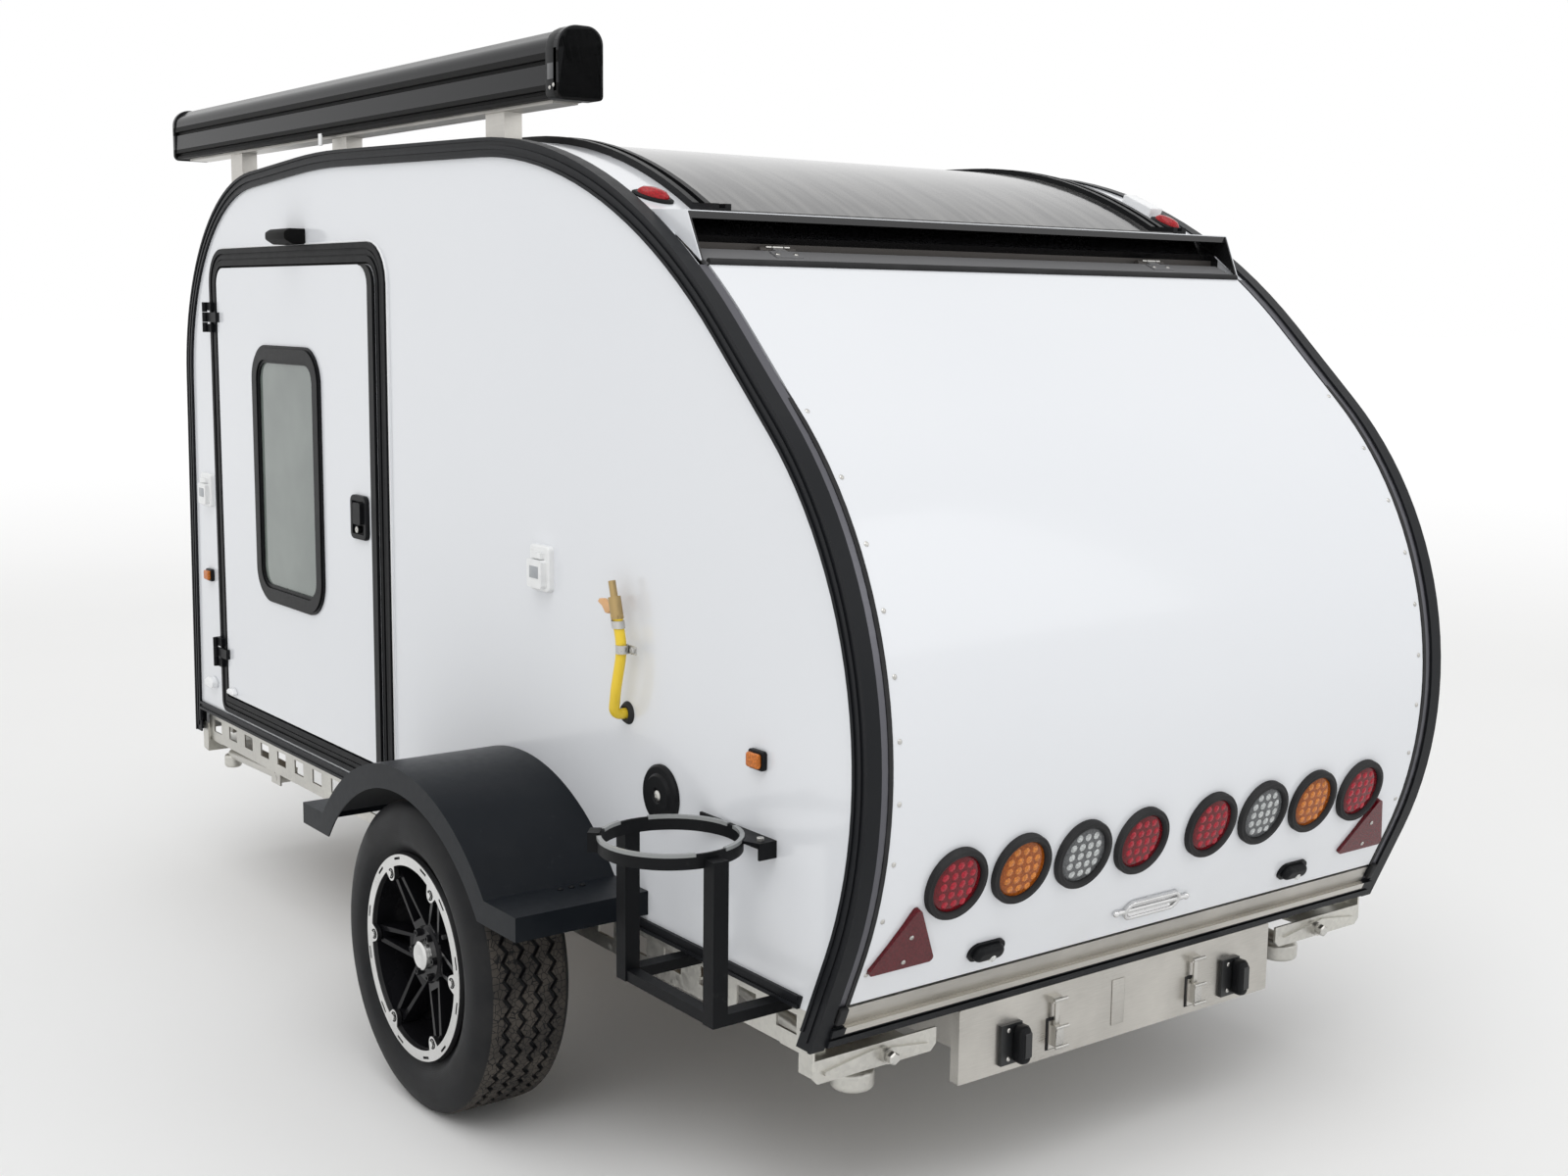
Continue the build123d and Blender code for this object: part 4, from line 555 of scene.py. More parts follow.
def soften(piece, width, segments=2):
    """Rounds every edge that turns by more than forty degrees."""
    bpy.ops.object.mode_set(mode="OBJECT")
    rounding = piece.modifiers.new("rounding", "BEVEL")
    rounding.width, rounding.segments = width * MM, segments
    rounding.limit_method, rounding.angle_limit = "ANGLE", math.radians(40)
    bpy.ops.object.modifier_apply(modifier=rounding.name)
    bpy.ops.object.mode_set(mode="EDIT")
    return piece


def select(piece, test):
    """Selects the corners whose place passes the test."""
    bpy.ops.mesh.select_mode(type="VERT")
    bpy.ops.mesh.select_all(action="DESELECT")
    mesh = bmesh.from_edit_mesh(piece.data)
    for corner in mesh.verts:
        corner.select_set(test(piece.matrix_basis @ corner.co))
    mesh.select_flush_mode()
    bmesh.update_edit_mesh(piece.data)


def together(*pieces):
    """One mesh from several pieces that are still being shaped."""
    bpy.ops.object.mode_set(mode="OBJECT")
    bpy.ops.object.select_all(action="DESELECT")
    for piece in pieces:
        piece.select_set(True)
    bpy.context.view_layer.objects.active = pieces[0]
    bpy.ops.object.join()
    bpy.ops.object.mode_set(mode="EDIT")
    return pieces[0]


def fit(piece, name, finish, body, places=(Matrix(),), smooth=35):
    """Closes and shades a piece, copies it to its places as one mesh and lets it ride on its body."""
    bpy.ops.object.mode_set(mode="EDIT")
    bpy.ops.mesh.select_all(action="SELECT")
    bpy.ops.mesh.remove_doubles(threshold=0.00001)
    bpy.ops.mesh.normals_make_consistent(inside=False)
    bpy.ops.object.mode_set(mode="OBJECT")
    bpy.ops.object.transform_apply(location=True, rotation=True, scale=True)
    bpy.ops.object.shade_smooth_by_angle(angle=math.radians(smooth))
    piece.data.materials.append(finish.material)
    copies = [piece]
    for _ in places[1:]:
        twin = piece.copy()
        twin.data = piece.data.copy()
        bpy.context.scene.collection.objects.link(twin)
        twin.select_set(True)
        copies.append(twin)
    for twin, place in zip(copies, places):
        twin.data.transform(place)
        if place.determinant() < 0:
            twin.data.flip_normals()
    if len(copies) > 1:
        bpy.ops.object.join()
    piece.name = piece.data.name = name
    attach(piece, body)
    return piece


# Places to fit pieces at

ACROSS = Matrix.Scale(-1, 4, (0, 1, 0))     # mirrors the left side to the right
SIDES = (("left", Matrix()), ("right", ACROSS))
UP, AHEAD, LEFT = (0, 0, 1), (1, 0, 0), (0, 1, 0)
RIGHT, REAR = (0, -1, 0), (-1, 0, 0)


def placed(origin, x_axis, z_axis):
    """Place with its origin in the row frame, its x along x_axis and its z along z_axis."""
    x_axis, z_axis = Vector(x_axis).normalized(), Vector(z_axis).normalized()
    axes = Matrix((x_axis, z_axis.cross(x_axis), z_axis)).transposed()
    return Matrix.LocRotScale(Vector(origin), axes, None)


def on_tail(y, z):
    """Place on the tail, left of the middle and above the low edge: x to the right and z outwards."""
    level = BASE + z * MM
    centre_x, centre_z, radius = TAIL_ARC
    if level < TAIL_BEND_Z:
        normal = Vector((-1, 0, -TAIL_LEAN)).normalized()
        spot = Vector((TAIL_X - TAIL_LEAN * z * MM, y * MM, level))
    else:
        normal = Vector((-math.sqrt(radius ** 2 - (level - centre_z) ** 2), 0, level - centre_z)) / radius
        spot = Vector((centre_x + normal.x * radius, y * MM, level))
    return placed(spot, RIGHT, normal)


def on_wall(x, z, out=0.0):
    """Place on the left wall: x rearwards, y up and z outwards."""
    return placed(at(x, WALL + out, z), REAR, LEFT)


def on_drawer(x, y, z):
    """Place that faces the rear: x to the right, y up and z outwards."""
    return placed(at(x, y, z), RIGHT, REAR)


def shifted(place, x, y, z=0.0, turn=0.0):
    """A place moved within its own axes, in millimetres, and turned about its z in degrees."""
    return place @ Matrix.Translation(Vector((x, y, z)) * MM) @ Matrix.Rotation(math.radians(turn), 4, "Z")


# Tail lamps: a rubber ring with two lips, a lens and eighteen small domes in it
LAMP_LEVEL, LAMP_INNER, LAMP_STEP = 281, 94, 149    # above the low edge, out from the middle, lamp to lamp
LAMP_RING = [(52, -3), (52, 5), (54, 9.5), (57, 11.5), (60, 10), (61.5, 10), (64, 10.5), (66, 7), (66, -3)]
LAMP_LENS = [(52.5, 0), (52.5, 3.5), (50, 5.5), (36, 6.8), (18, 7.6), (0, 8)]
LAMP_DOME = [(8, 0), (7.4, 1.4), (5, 2.7), (2.4, 3.2), (0, 3.4)]
DOME_ROWS = [(35, 3), (17.5, 4), (0, 4), (-17.5, 4), (-35, 3)]      # height of the row, domes in it
DOME_STEP, DOME_RISE, LENS_BULGE = 20, 6.4, 1100
LAMP_COLOURS = [  # name, slot, lens, its domes in a lighter colour for a painted highlight, which lamps from the middle outwards
    ("red", "lamp_red", (0.15, 0.003, 0.008), (0.42, 0.012, 0.03), (0, 3)),
    ("clear", "white_plastic", (0.12, 0.125, 0.13), (0.55, 0.57, 0.57), (1,)),
    ("amber", "lamp_amber", (0.34, 0.08, 0.005), (0.66, 0.22, 0.04), (2,))]
lamp_rows = [[on_tail(side * (LAMP_INNER + k * LAMP_STEP), LAMP_LEVEL) for k in range(4)] for side in (1, -1)]
rings = fit(turned(LAMP_RING, 64, ring=True), "tail_lamp_rings", seal, "hatch",
            lamp_rows[0] + lamp_rows[1])
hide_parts("tail_lamps")
dome_spots = [((k - (count - 1) / 2) * DOME_STEP, y) for y, count in DOME_ROWS for k in range(count)]
for name, slot, colour, bright, order in LAMP_COLOURS:
    there = [row[k] for row in lamp_rows for k in order]
    fit(turned(LAMP_LENS, 48), "tail_lens_" + name, lens("lens_" + name, colour), "hatch", there)
    # The domes take a lighter copy of the lens colour: painted highlight.
    domes = [shifted(place, x, y, DOME_RISE - (x * x + y * y) / LENS_BULGE)
             for place in there for x, y in dome_spots]
    fit(turned(LAMP_DOME, 12), "tail_domes_" + name, lens("domes_" + name, bright, 0.05), "hatch",
        domes, smooth=60)

# Triangle reflectors: two screws each; number plate lamps: the spot lens of each
REFLECTOR_Y, REFLECTOR_Z, REFLECTOR_PROUD = 618, 177, 7
REFLECTOR_SCREW = [(4.4, 0), (4.4, 1.2), (3.4, 2.4), (1.8, 2.8), (1.5, 1.8), (0, 1.7)]
PLATE_LAMP_Y, PLATE_LAMP_Z = 415, 125
PLATE_LENS = [(8, -2), (8, 1), (6.5, 3), (3, 4.2), (0, 4.5)]
screws = [shifted(on_tail(side * REFLECTOR_Y, REFLECTOR_Z), 0, y, REFLECTOR_PROUD)
          for side in (1, -1) for y in (24, -28)]
fit(turned(REFLECTOR_SCREW, 16), "reflector_screws", steel, "hatch", screws)
spots = [shifted(on_tail(side * PLATE_LAMP_Y, PLATE_LAMP_Z), 6, -8, 16.5) for side in (1, -1)]
fit(turned(PLATE_LENS, 20), "plate_lamp_lenses", lens("lens_plate_lamp", (0.75, 0.76, 0.74)),
    "hatch", spots)

# Hatch: rivets down both sides, a round seal on its top edge and a strip up each side to the gutter
RIVET = [(4.6, -0.5), (4.6, 0.4), (3.6, 1.6), (1.8, 2.2), (0, 2.3)]
RIVET_Y, RIVET_LOW, RIVET_STEP, RIVETS = 686, 136, 102, 12
rivets = [on_tail(side * RIVET_Y, RIVET_LOW + RIVET_STEP * k) for k in range(RIVETS) for side in (1, -1)]
fit(turned(RIVET, 12), "hatch_rivets", steel, "hatch", rivets)
TOP_SEAL_X, TOP_SEAL_Z, TOP_SEAL_R, TOP_SEAL_HALF = 394, 1300, 7, 699
top_bar = turned([(TOP_SEAL_R, -TOP_SEAL_HALF), (TOP_SEAL_R, TOP_SEAL_HALF)], 16)
fit(top_bar, "hatch_top_seal", seal, "hatch",
    [placed(at(TOP_SEAL_X, 0, TOP_SEAL_Z), AHEAD, LEFT)])
STRIP_LOW, STRIP_STEP, STRIP_POINTS = 80, 33, 35
STRIP_PROUD, STRIP_DEEP, STRIP_WIDE = 1.4, 18, 9
STRIP_SIDES = (710, -701)                   # each strip's left face
skin = [on_tail(0, STRIP_LOW + STRIP_STEP * k) for k in range(STRIP_POINTS)]
strip_edge = [m.translation + m.col[2].xyz * STRIP_PROUD * MM for m in skin]
strip_edge += [m.translation - m.col[2].xyz * STRIP_DEEP * MM for m in reversed(skin)]
side_strip = cut_out([(p.x / MM, p.z / MM) for p in strip_edge], STRIP_WIDE)
strips = [placed((0, y * MM, 0), AHEAD, RIGHT) for y in STRIP_SIDES]
fit(side_strip, "hatch_side_seals", seal, "trailer", strips)

# Hatch hinges: a bright steel bead over each knuckle for a painted highlight, its middle on the hatch, and
# two screws in each leaf
HINGE_Y = 500
BEAD_X, BEAD_Z = 460.5, 1331.5
LEAF_SCREW = [(5, -0.5), (5, 0.6), (3, 2), (0, 2.3)]
LEAF_X, LEAF_Z = 431, 1318.5
LEAF_SLOPE, LEAF_NORMAL = (0.912, 0, 0.41), (-0.41, 0, 0.912)


def knuckle_beads(name, body, half, shifts):
    """Round bright beads across the hinges, this far either side of their own middles, as painted highlights.
    """
    bead = turned([(2.4, -half), (3.4, 1 - half), (3.4, half - 1), (2.4, half)], 12)
    fit(bead, name, steel, body,
        [placed(at(BEAD_X, side * HINGE_Y + shift, BEAD_Z), AHEAD, LEFT)
         for side in (1, -1) for shift in shifts])


knuckle_beads("hatch_hinge_highlight_pins", "trailer", 6.4, (-20.6, 20.6))
knuckle_beads("hatch_hinge_highlight_middles", "hatch", 12.2, (0,))
leaf_screws = [placed(at(LEAF_X, side * HINGE_Y + y, LEAF_Z), LEAF_SLOPE, LEAF_NORMAL)
               for side in (1, -1) for y in (-21, 21)]
fit(turned(LEAF_SCREW, 12), "hatch_hinge_screws", steel, "hatch", leaf_screws)

# Sill: a rubber stop at each end
STOP_Y, STOP_Z = 714, 64
fit(bar((-9, -17, 0), (9, 17, 9), 2.5), "sill_stops", seal, "trailer",
    [on_tail(side * STOP_Y, STOP_Z) for side in (1, -1)])

# Tyres: a moulded carcass with four zigzag grooves round the tread
HALF_TYRE = [(197, 74), (203, 79), (211, 81.5), (216, 84), (223, 89.5), (231, 96), (240, 100.6),
             (250, 102.3), (262, 102.5), (274, 102), (286, 98.8), (297, 93.5), (306, 87), (311.5, 82),
             (314.6, 76), (315.6, 66)]
GROOVE = [(315.8, 5.4), (307.5, 3.8), (307.5, -3.8), (315.9, -5.4)]
GROOVE_MIDDLES = (49, 16.5, -16.5, -49)
TREAD_STEPS, ZIGZAG = 112, 6.5
TREAD_R, TREAD_HALF = 0.307, 0.056      # the zigzag moves what lies beyond this radius, within this width
crown = [(r, middle + w) for middle in GROOVE_MIDDLES for r, w in GROOVE]
tyre_profile = HALF_TYRE + crown + [(r, -w) for r, w in reversed(HALF_TYRE)]


def carcass():
    """The tyre as turned, the corners of its tread moved left and right by turns."""
    piece = turned(tyre_profile, TREAD_STEPS, ring=True)
    for parity, shift in ((0, ZIGZAG), (1, -ZIGZAG)):
        select(piece, lambda co: co.xy.length > TREAD_R and abs(co.z) < TREAD_HALF
               and round(math.atan2(co.y, co.x) / math.tau * TREAD_STEPS) % 2 == parity)
        bpy.ops.transform.translate(value=(0, 0, shift * MM))
    return piece


# Wheels: nuts round each cap, a dark ring of painted shade round each lug's bolt, dark bars of painted shade
# for the slots between lugs, and a valve
NUT = [(8.5, 64), (8.5, 72), (7, 75), (4, 75), (4, 73), (0, 73)]
BOLT_SHADE_RING = [(10.6, 95.4), (10.6, 96.8), (8, 96.8), (8, 95.4)]
VALVE_STEM = [(3.2, 66), (3.2, 90), (4.4, 91), (4.4, 99), (0, 100)]
NUT_CIRCLE, BOLT_CIRCLE, VALVE_CIRCLE, SLOT_CIRCLE = 47, 176, 168, 200
LUG_TURNS = range(0, 360, 60)
SLOT_TURNS = [turn + 30 + way * 17 for turn in LUG_TURNS for way in (-1, 1)]
left_wheel = placed((WHEEL_X, WHEEL_Y, WHEEL_Z), REAR, LEFT)


def round_hub(hub, radius, turns):
    """Places on a circle about the wheel's axis, at these turns in degrees."""
    return [shifted(hub, *around(radius, a), 0, a) for a in turns]


for side, flip in SIDES:
    hub = flip @ left_wheel
    body = "wheel_" + side
    tread = fit(carcass(), "tyre_tread_" + side, tyre, body, [hub])
    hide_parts("tyre_" + side)
    fit(turned(NUT, 6), "wheel_nuts_" + side, rim_coat, body,
        round_hub(hub, NUT_CIRCLE, LUG_TURNS))
    # A flat black ring round each bolt: painted shade of its countersink.
    fit(turned(BOLT_SHADE_RING, 24, ring=True), "rim_bolt_shade_rings_" + side, seal, body,
        round_hub(hub, BOLT_CIRCLE, LUG_TURNS))
    fit(turned(VALVE_STEM, 12), "tyre_valve_" + side, seal, body,
        round_hub(hub, VALVE_CIRCLE, [30]))
    # Black bars between the lugs: painted shade of the rim's slots.
    fit(bar((-2.6, -13, 90.4), (2.6, 13, 92.4), 0.4), "rim_slot_shades_" + side, seal, body,
        round_hub(hub, SLOT_CIRCLE, SLOT_TURNS))

# Gas hose fittings: grommet, clip with its tab and bolt, band, and the valve's lever and collar
GROMMET = [(10, -2), (10, 5), (13, 8), (17, 8), (20, 4), (22, 1), (22, -2)]
CLIP = [(10.2, -8), (10.2, 8), (12.2, 8), (12.2, -8)]
BAND = [(10.2, -8), (10.2, 8), (12.8, 7), (12.8, -7)]
HEX_BOLT = [(7, 0), (7, 4.5), (5.5, 5.6), (0, 5.6)]
COLLAR = [(12.8, -3), (14, -1), (14, 3), (12.8, 5), (0, 5)]
LEVER = [(4, -5), (20, -4), (38, -12), (56, -9), (62, -2), (46, 4), (34, 15), (22, 14), (16, 6), (4, 6)]
HOSE_FOOT_X, HOSE_FOOT_Z = 575, 470
CLIP_X, CLIP_Z, CLIP_OUT = 548, 598, 30
VALVE_RUN = (0.251, 0.018, 0.968)           # the way the valve points
fit(turned(GROMMET, 32, ring=True), "hose_grommet", seal, "trailer",
    [on_wall(HOSE_FOOT_X, HOSE_FOOT_Z)])
fit(turned(CLIP, 32, ring=True), "hose_clip", steel, "trailer",
    [placed(at(CLIP_X, WALL + CLIP_OUT, CLIP_Z), AHEAD, UP)])
fit(bar((0, -8, -12), (32, 8, -9.5), 0.8), "hose_clip_tab", steel, "trailer",
    [on_wall(CLIP_X, CLIP_Z, CLIP_OUT)])
fit(turned(HEX_BOLT, 6), "hose_clip_bolt", steel, "trailer",
    [on_wall(CLIP_X - 24, CLIP_Z, CLIP_OUT - 9.5)])
fit(turned(BAND, 24, ring=True), "hose_band", steel, "trailer",
    [placed(at(560, 781, 643), AHEAD, VALVE_RUN)])
fit(soften(cut_out(LEVER, 7), 2, 3), "valve_lever", plain_plastic("lever_plastic", (0.72, 0.4, 0.17), 0.35),
    "trailer", [placed(at(566, 778, 672), (1, 0, 0.05), LEFT)])
fit(turned(COLLAR, 6), "valve_collar", brass, "trailer",
    [placed(at(563.5, 781.3, 657), AHEAD, VALVE_RUN)])

# Bottle ring: pale edging in four lengths, and the bolts of its wall plate
RING_X, RING_Y, RING_Z = 235, 878, 332
EDGING_R = (117.6, 125.6)
EDGING_RUNS = [(14, 39), (61, 166), (194, 262), (271, 346)]     # from angle to angle
edging = together(*[cut_out(sector(*EDGING_R, a, b), 6) for a, b in EDGING_RUNS])
fit(edging, "bottle_ring_edging", plain_plastic("edging_plastic", (0.26, 0.27, 0.27)),
    "trailer", [placed(at(RING_X, RING_Y, RING_Z), AHEAD, UP)])
ring_bolts = [placed(at(122, 772, 336), AHEAD, UP)] + [on_wall(x, 323, 5) for x in (305, 165)]
fit(turned(HEX_BOLT, 6), "bottle_ring_bolts", steel, "trailer", ring_bolts)

# Service disc: its middle screw; fender steps: three bolts each; sockets: a grey window in each
DISC_SCREW = [(10, 0), (10, 2), (7, 4), (3, 4.6), (2.4, 3), (0, 3)]
STEP_BOLT = [(6, 0), (6, 1.5), (4, 3.4), (0, 3.8)]
SOCKET_SPOTS = ((888, 701), (2758, 700))
fit(turned(DISC_SCREW, 20), "service_disc_screw", steel, "trailer", [on_wall(457, 338, 10)])
step_bolts = [flip @ placed(at(604, y, 143), AHEAD, UP) for _, flip in SIDES for y in (833, 857, 881)]
fit(turned(STEP_BOLT, 12), "fender_bolts", powder, "trailer", step_bolts)
fit(bar((-17, -13, -1), (17, 11, 1), 0.9), "socket_windows", plain_plastic("socket_grey", (0.36, 0.38, 0.4)),
    "trailer", [on_wall(x, z, 24) for x, z in SOCKET_SPOTS])

# Roof marker lamps: a black foot with an oval red lens; a cable box beside the right one
ROOF_SLOPE, ROOF_NORMAL = (0.897, 0, 0.4418), (-0.4418, 0, 0.897)
OVAL = Matrix.Diagonal((1.9, 1, 1, 1))
MARKER_TURNS = ((688, 60), (-688, 20))      # left of the middle, turn in degrees
MARKER_FOOT = [(21, -14), (21, 3), (18, 6), (0, 6)]
MARKER_LENS = [(16, 5), (15.4, 10), (12, 15.5), (7, 18), (0, 18.8)]
roof_markers = [shifted(placed(at(590, y, 1418.4), ROOF_SLOPE, ROOF_NORMAL), 0, 0, 0, turn) @ OVAL
                for y, turn in MARKER_TURNS]
feet = fit(turned(MARKER_FOOT), "roof_marker_feet", moulding, "trailer", roof_markers)
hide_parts("roof_markers")
fit(turned(MARKER_LENS), "roof_marker_lenses", red_lens, "trailer", roof_markers, smooth=60)
fit(bar((-46, -20, -6), (46, 20, 20), 3, 3), "roof_cable_box", bead_white, "trailer",
    [placed(at(672, -692, 1455.3), (0.925, 0, 0.38), (-0.38, 0, 0.925))])

# Side marker lamps: a black foot with a smaller amber lens
side_markers = [flip @ on_wall(x, 466) for _, flip in SIDES for x in (156, 2764)]
foot = soften(cut_out(bent([(-22, -17, 6), (22, -17, 6), (22, 17, 6), (-22, 17, 6)]), 10), 2, 3)
foot = fit(foot, "side_marker_feet", moulding, "trailer", side_markers)
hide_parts("side_markers")
cover = soften(cut_out(bent([(-18, -13, 5), (18, -13, 5), (18, 13, 5), (-18, 13, 5)]), 9), 3.5, 4)
fit(cover, "side_marker_lenses", lens("marker_amber", (0.6, 0.17, 0.02)), "trailer",
    [shifted(place, 0, 0, 9.5) for place in side_markers])

# Door lamp: a short glossy wedge with rounded ends
LAMP_SECTION = [(0, 1362, 2), (34, 1362, 9), (54, 1374, 9), (54, 1391, 9), (40, 1399, 9), (0, 1399, 2)]
DOOR_LAMP_X, DOOR_LAMP_LONG = 2043, 122
wedge = soften(cut_out(bent(LAMP_SECTION), DOOR_LAMP_LONG), 7, 4)
wedge = fit(wedge, "door_lamp_housings", case_coat, "trailer",
            [placed(at(DOOR_LAMP_X, WALL, 0), LEFT, AHEAD)])
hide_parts("door_lamp")

# Side doors: a pale bead round each frame for a painted highlight, and a retainer with one half on the wall
# and one on the leaf
FRAME_REAR, FRAME_FRONT, FRAME_LOW, FRAME_HIGH = 1589, 2694, 93, 1362
FRAME_TOP_R, FRAME_FOOT_R = 95, 30
WALL_HALF_SPOT, LEAF_HALF_SPOT, LOCK_SPOT = (2770, 160), (2600, 162, 6), (1737.5, 698, 18)
WALL_HALF = [(-30, -12), (24, -15), (30, -8), (30, 4), (14, 15), (-6, 15), (-30, 4)]
LEAF_HALF = [(-24, -8), (22, -9), (26, -3), (12, 9), (-8, 9), (-24, 2)]
frame_corners = [(FRAME_FRONT - FRAME_TOP_R, FRAME_HIGH - FRAME_TOP_R, FRAME_TOP_R, 0),
                 (FRAME_REAR + FRAME_TOP_R, FRAME_HIGH - FRAME_TOP_R, FRAME_TOP_R, 90),
                 (FRAME_REAR + FRAME_FOOT_R, FRAME_LOW + FRAME_FOOT_R, FRAME_FOOT_R, 180),
                 (FRAME_FRONT - FRAME_FOOT_R, FRAME_LOW + FRAME_FOOT_R, FRAME_FOOT_R, 270)]
loop = []
for x, z, radius, first in frame_corners:
    for turn in range(first, first + 91, 15):
        dx, dz = around(radius, turn)
        loop.append(at(x + dx, WALL + 1, z + dz))
# The pale bead stands in for the light line round the frame: painted highlight.
fit(piped(loop + loop[:1], 2.4, 6), "door_frame_highlight_beads", bead_white, "trailer",
    [flip for _, flip in SIDES])
fit(soften(cut_out(WALL_HALF, 20), 4, 3), "door_retainer_wall", bead_white, "trailer",
    [flip @ on_wall(*WALL_HALF_SPOT) for _, flip in SIDES])

# Door leaves: the retainer's other half, the lock and the black edging on the latch side
LOCK = [(7.5, -1), (7.5, 1.5), (6.5, 2.4), (2, 2.4), (2, 0.5), (0, 0.5)]
LEAF_EDGING = [(-1641.5, 145.5, 2), (-1641.5, 1309.6, 45), (-1714, 1309.6, 0.3), (-1714, 1308, 0.3),
               (-1668, 1308, 45), (-1668, 145.5, 2)]
for side, flip in SIDES:
    body = "door_" + side
    fit(soften(cut_out(LEAF_HALF, 15), 3, 3), body + "_retainer", bead_white, body,
        [flip @ on_wall(*LEAF_HALF_SPOT)])
    fit(turned(LOCK, 20), body + "_lock", steel, body, [flip @ on_wall(*LOCK_SPOT)])
    fit(cut_out(bent(LEAF_EDGING), 8), body + "_edging", moulding, body,
        [flip @ on_wall(0, 0, 5.5)])

# Drawer: a raised field between the latches, the latches' tee handles, plates and black pads of painted shade
# behind them, the pulls' grips
LATCH_Y, PULL_Y, PULL_Z = 190, 300, -90
PULL_SCREW = [(4.6, -0.5), (4.6, 0.8), (3, 2.4), (0, 2.8)]
TEE = [(2.2, -17), (3.4, -16), (3.4, 16), (2.2, 17)]
TEE_SPOTS = ((-17, -29), (-22, -80), (-22, -118))
LATCH_PLATE = [(-10, -18), (10, -18), (10, 8), (5, 18), (-5, 18), (-10, 8)]
GRIP = [(-14, -34, 10), (14, -38, 12), (14, 38, 12), (-14, 34, 10)]
fit(bar((-34, -45, 0), (0, 45, 1.6), 1.2), "drawer_field", stainless, "drawer",
    [on_drawer(-2, 0, -74)])
pull_screws = [shifted(on_drawer(-10, side * PULL_Y, PULL_Z), -8, y) for side in (1, -1) for y in (-27, 27)]
fit(turned(PULL_SCREW, 12), "drawer_pull_screws", steel, "drawer", pull_screws)
tees = [placed(at(x, side * LATCH_Y - 6, z), AHEAD, LEFT) for side in (1, -1) for x, z in TEE_SPOTS]
fit(turned(TEE, 12), "drawer_latch_tees", steel, "drawer", tees)
fit(soften(cut_out(LATCH_PLATE, 3), 0.8), "drawer_latch_plates", steel, "drawer",
    [on_drawer(-20, side * LATCH_Y, -96) for side in (1, -1)])
# A black pad behind each latch: painted shade round its body.
fit(bar((-17, -31, 0), (17, 31, 1.2), 0.5), "drawer_latch_shade_pads", seal, "drawer",
    [on_drawer(-2, side * LATCH_Y, -97) for side in (1, -1)])
fit(soften(cut_out(bent(GRIP), 25), 7, 4), "drawer_grips", moulding, "drawer",
    [on_drawer(-10, side * PULL_Y - 14, PULL_Z) for side in (1, -1)])

# Corner plates: a nut on each steady's spindle
SPINDLE_NUT = [(12, -3), (12, 5), (9.5, 8), (0, 8)]
SPINDLES = [(-12, 584, -1), (-12, -584, -1), (2928, 686, 1), (2928, -686, 1)]   # x, y, the way it faces
fit(turned(SPINDLE_NUT, 6), "steady_nuts", steel, "trailer",
    [placed(at(x, y, -48), LEFT, (way, 0, 0)) for x, y, way in SPINDLES])

# Awning: the near end cap wraps the case and has a latch plate and screws; a white tab under the lead bar
CAP_X, CAP_Z, CAP_LONG = 821, 1612, 46
CAP_SECTION = [(3, -3, 14), (3, 134, 44), (-98, 134, 34), (-98, -3, 10)]
CAP_SCREW = [(4, -0.5), (4, 1), (2.6, 2.2), (0, 2.2)]
fit(soften(cut_out(bent(CAP_SECTION), CAP_LONG), 3, 3), "awning_cap_rear", moulding,
    "trailer", [placed(at(CAP_X, WALL, CAP_Z), LEFT, AHEAD)])
cap_grey = plain_plastic("cap_grey", (0.06, 0.062, 0.066))
fit(bar((-11, -15, 0), (11, 15, 1.6), 0.7), "awning_cap_plate", cap_grey, "trailer",
    [on_wall(845, 1660, 3)])
fit(turned(CAP_SCREW, 12), "awning_cap_screws", steel, "trailer",
    [on_wall(x, z, 3) for x, z in ((848, 1630), (834, 1634))])
fit(bar((-9, -14, 0), (9, 14, 4), 1), "awning_tab", bead_white, "trailer",
    [on_wall(1944, 1603, -4)])

# Camera, at the photograph's viewing angle
CAMERA_PLACE, LENS_LENGTH, SENSOR_WIDTH, SIGHT = (-4.3006, 2.568, 1.611), 42.82, 36, 200
YAW, PITCH, ROLL = math.radians(-36.86), math.radians(8.5), math.radians(0.7)
ahead = Vector((math.cos(YAW) * math.cos(PITCH), math.sin(YAW) * math.cos(PITCH), -math.sin(PITCH)))
level = ahead.cross(Vector(UP)).normalized()
upright = level.cross(ahead)
right = math.cos(ROLL) * level + math.sin(ROLL) * upright
up = math.cos(ROLL) * upright - math.sin(ROLL) * level
camera = bpy.data.objects.new("camera", bpy.data.cameras.new("camera"))
camera.data.sensor_width = SENSOR_WIDTH
camera.data.lens = LENS_LENGTH
camera.data.clip_end = SIGHT
camera.matrix_world = Matrix((right, up, -ahead)).transposed().to_4x4()
camera.location = CAMERA_PLACE
bpy.context.scene.collection.objects.link(camera)
bpy.context.scene.camera = camera


# Light and floor

SOFT_LIGHTS = (("key_light", (-4.5, 5.5, 6.0), (-0.4, 0, 0.9), 55),       # name, place, aim, watts
               ("rear_light", (-7.0, -3.5, 4.5), (-1.0, 0, 0.9), 40))
SOFT_WIDTH, OVERHEAD_SPREAD = 4.0, 50
SKY_LIGHT, SKY_SEEN = 0.72, 1.0         # the sky's strength as light, and where the background is seen
FLOOR_RADIUS, FADE_START, FADE_END = 150, 5, 0.85   # white where 1 - start / distance reaches the end


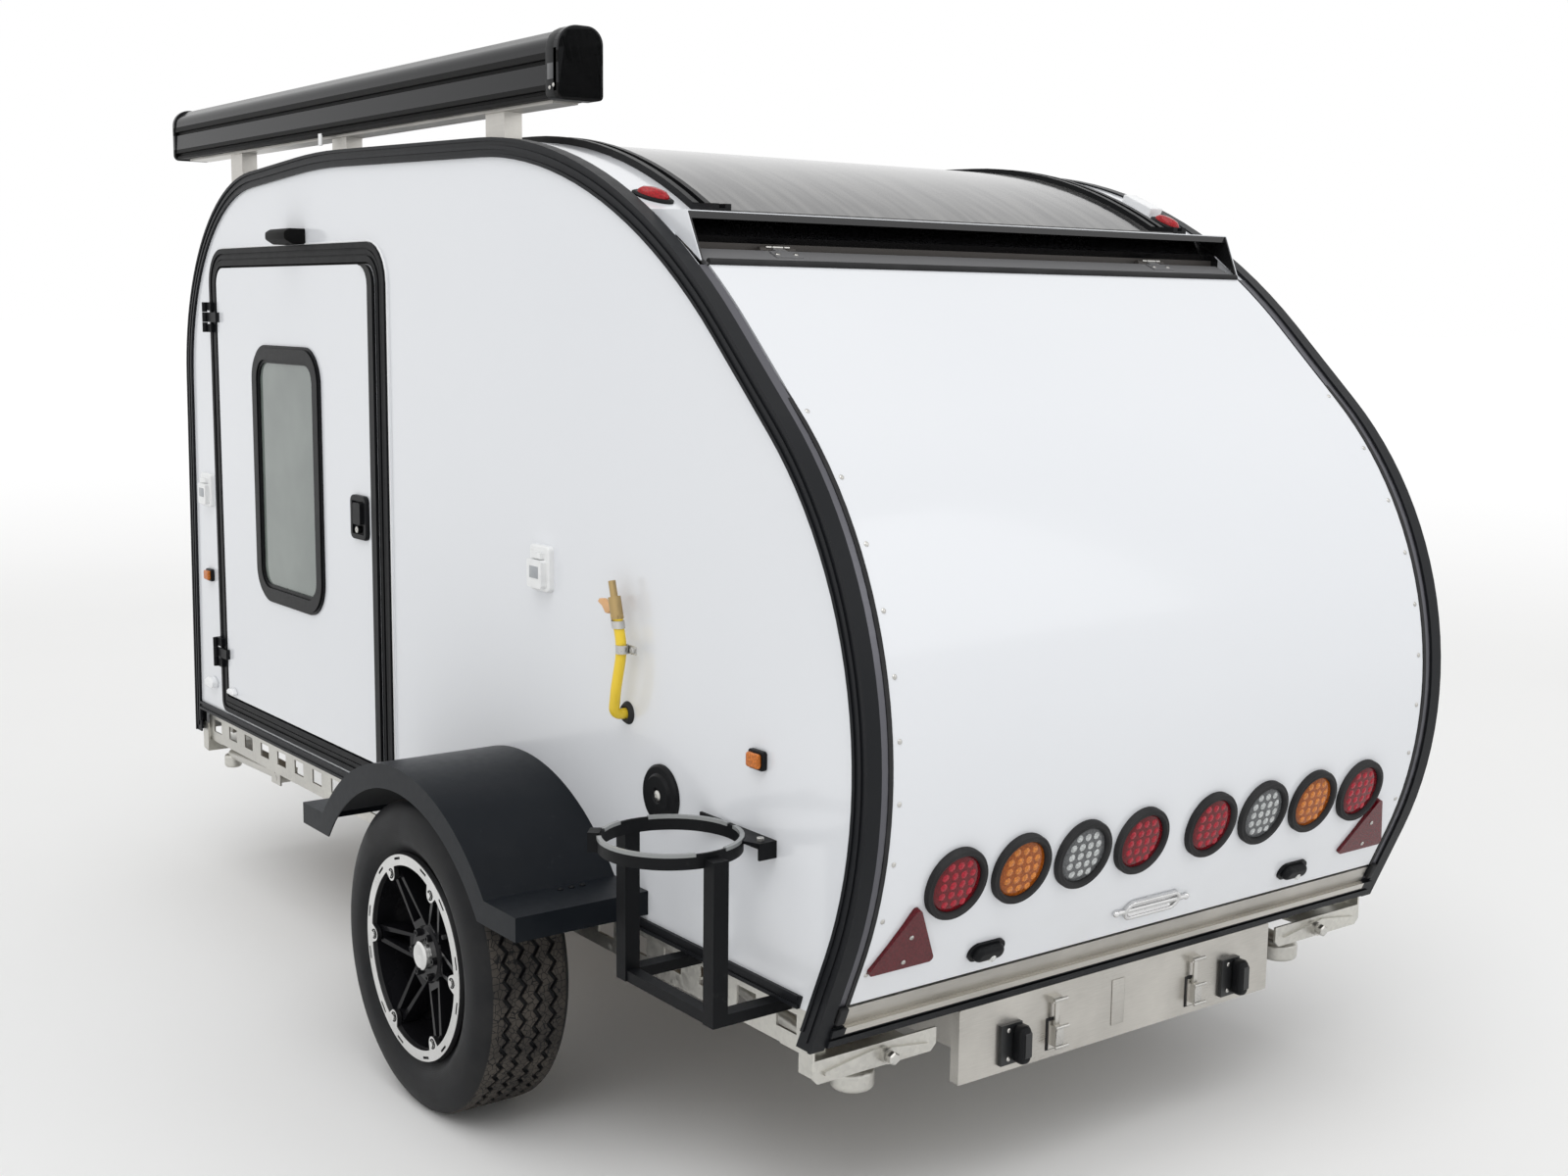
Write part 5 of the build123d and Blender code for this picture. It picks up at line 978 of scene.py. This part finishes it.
def light(name, kind, energy, aim):
    """A lamp that shines along this direction."""
    shine = bpy.data.objects.new(name, bpy.data.lights.new(name, kind))
    shine.data.energy = energy
    shine.rotation_euler = aim.to_track_quat("-Z", "Y").to_euler()
    bpy.context.scene.collection.objects.link(shine)
    return shine


for name, place, aim, watts in SOFT_LIGHTS:
    soft = light(name, "AREA", watts, Vector(aim) - Vector(place))
    soft.location = place
    soft.data.size = SOFT_WIDTH
overhead = light("overhead_light", "SUN", 0.8, Vector((0.25, -0.3, -1)))
overhead.data.angle = math.radians(OVERHEAD_SPREAD)


def background_rays(tree):
    """1 for the rays that show the background: straight to the camera, mirrored or through glass."""
    rays = tree.nodes.new("ShaderNodeLightPath")
    kinds = [Socket(rays.outputs[kind]) for kind in ("Is Camera Ray", "Is Glossy Ray", "Is Transmission Ray")]
    return kinds[0].high(kinds[1]).high(kinds[2])


def pale_floor():
    """Even pale paint that goes over into the background's white far from the trailer."""
    paint = Finish("floor_paint", (0.87, 0.87, 0.865), Roughness=0.9, Specular_IOR_Level=0.1,
                   Emission_Strength=1.0)
    pale = paint.blend(paint.noise(0.7, 3), (0.86, 0.86, 0.855), (0.885, 0.885, 0.88))
    distance = (paint.x * paint.x + paint.y * paint.y).root()
    far = (1 - FADE_START / distance).ease(0, FADE_END) * background_rays(paint.tree)
    paint.put(Base_Color=paint.blend(far, pale, (0, 0, 0)))
    paint.put(Emission_Color=paint.blend(far, (0, 0, 0), (1, 1, 1)))
    return paint


bpy.ops.mesh.primitive_circle_add(vertices=96, radius=FLOOR_RADIUS, fill_type="NGON")
floor = bpy.context.object
floor.name = "floor_sheet"
floor.data.materials.append(pale_floor().material)

world = bpy.data.worlds.new("studio")
world.use_nodes = True
bpy.context.scene.world = world
sky = world.node_tree
strength = SKY_LIGHT + background_rays(sky) * (SKY_SEEN - SKY_LIGHT)
join(sky.nodes["Background"].inputs["Strength"], strength)
join(sky.nodes["Background"].inputs["Color"], (1, 1, 1, 1))
bpy.context.scene.view_settings.view_transform = "Standard"
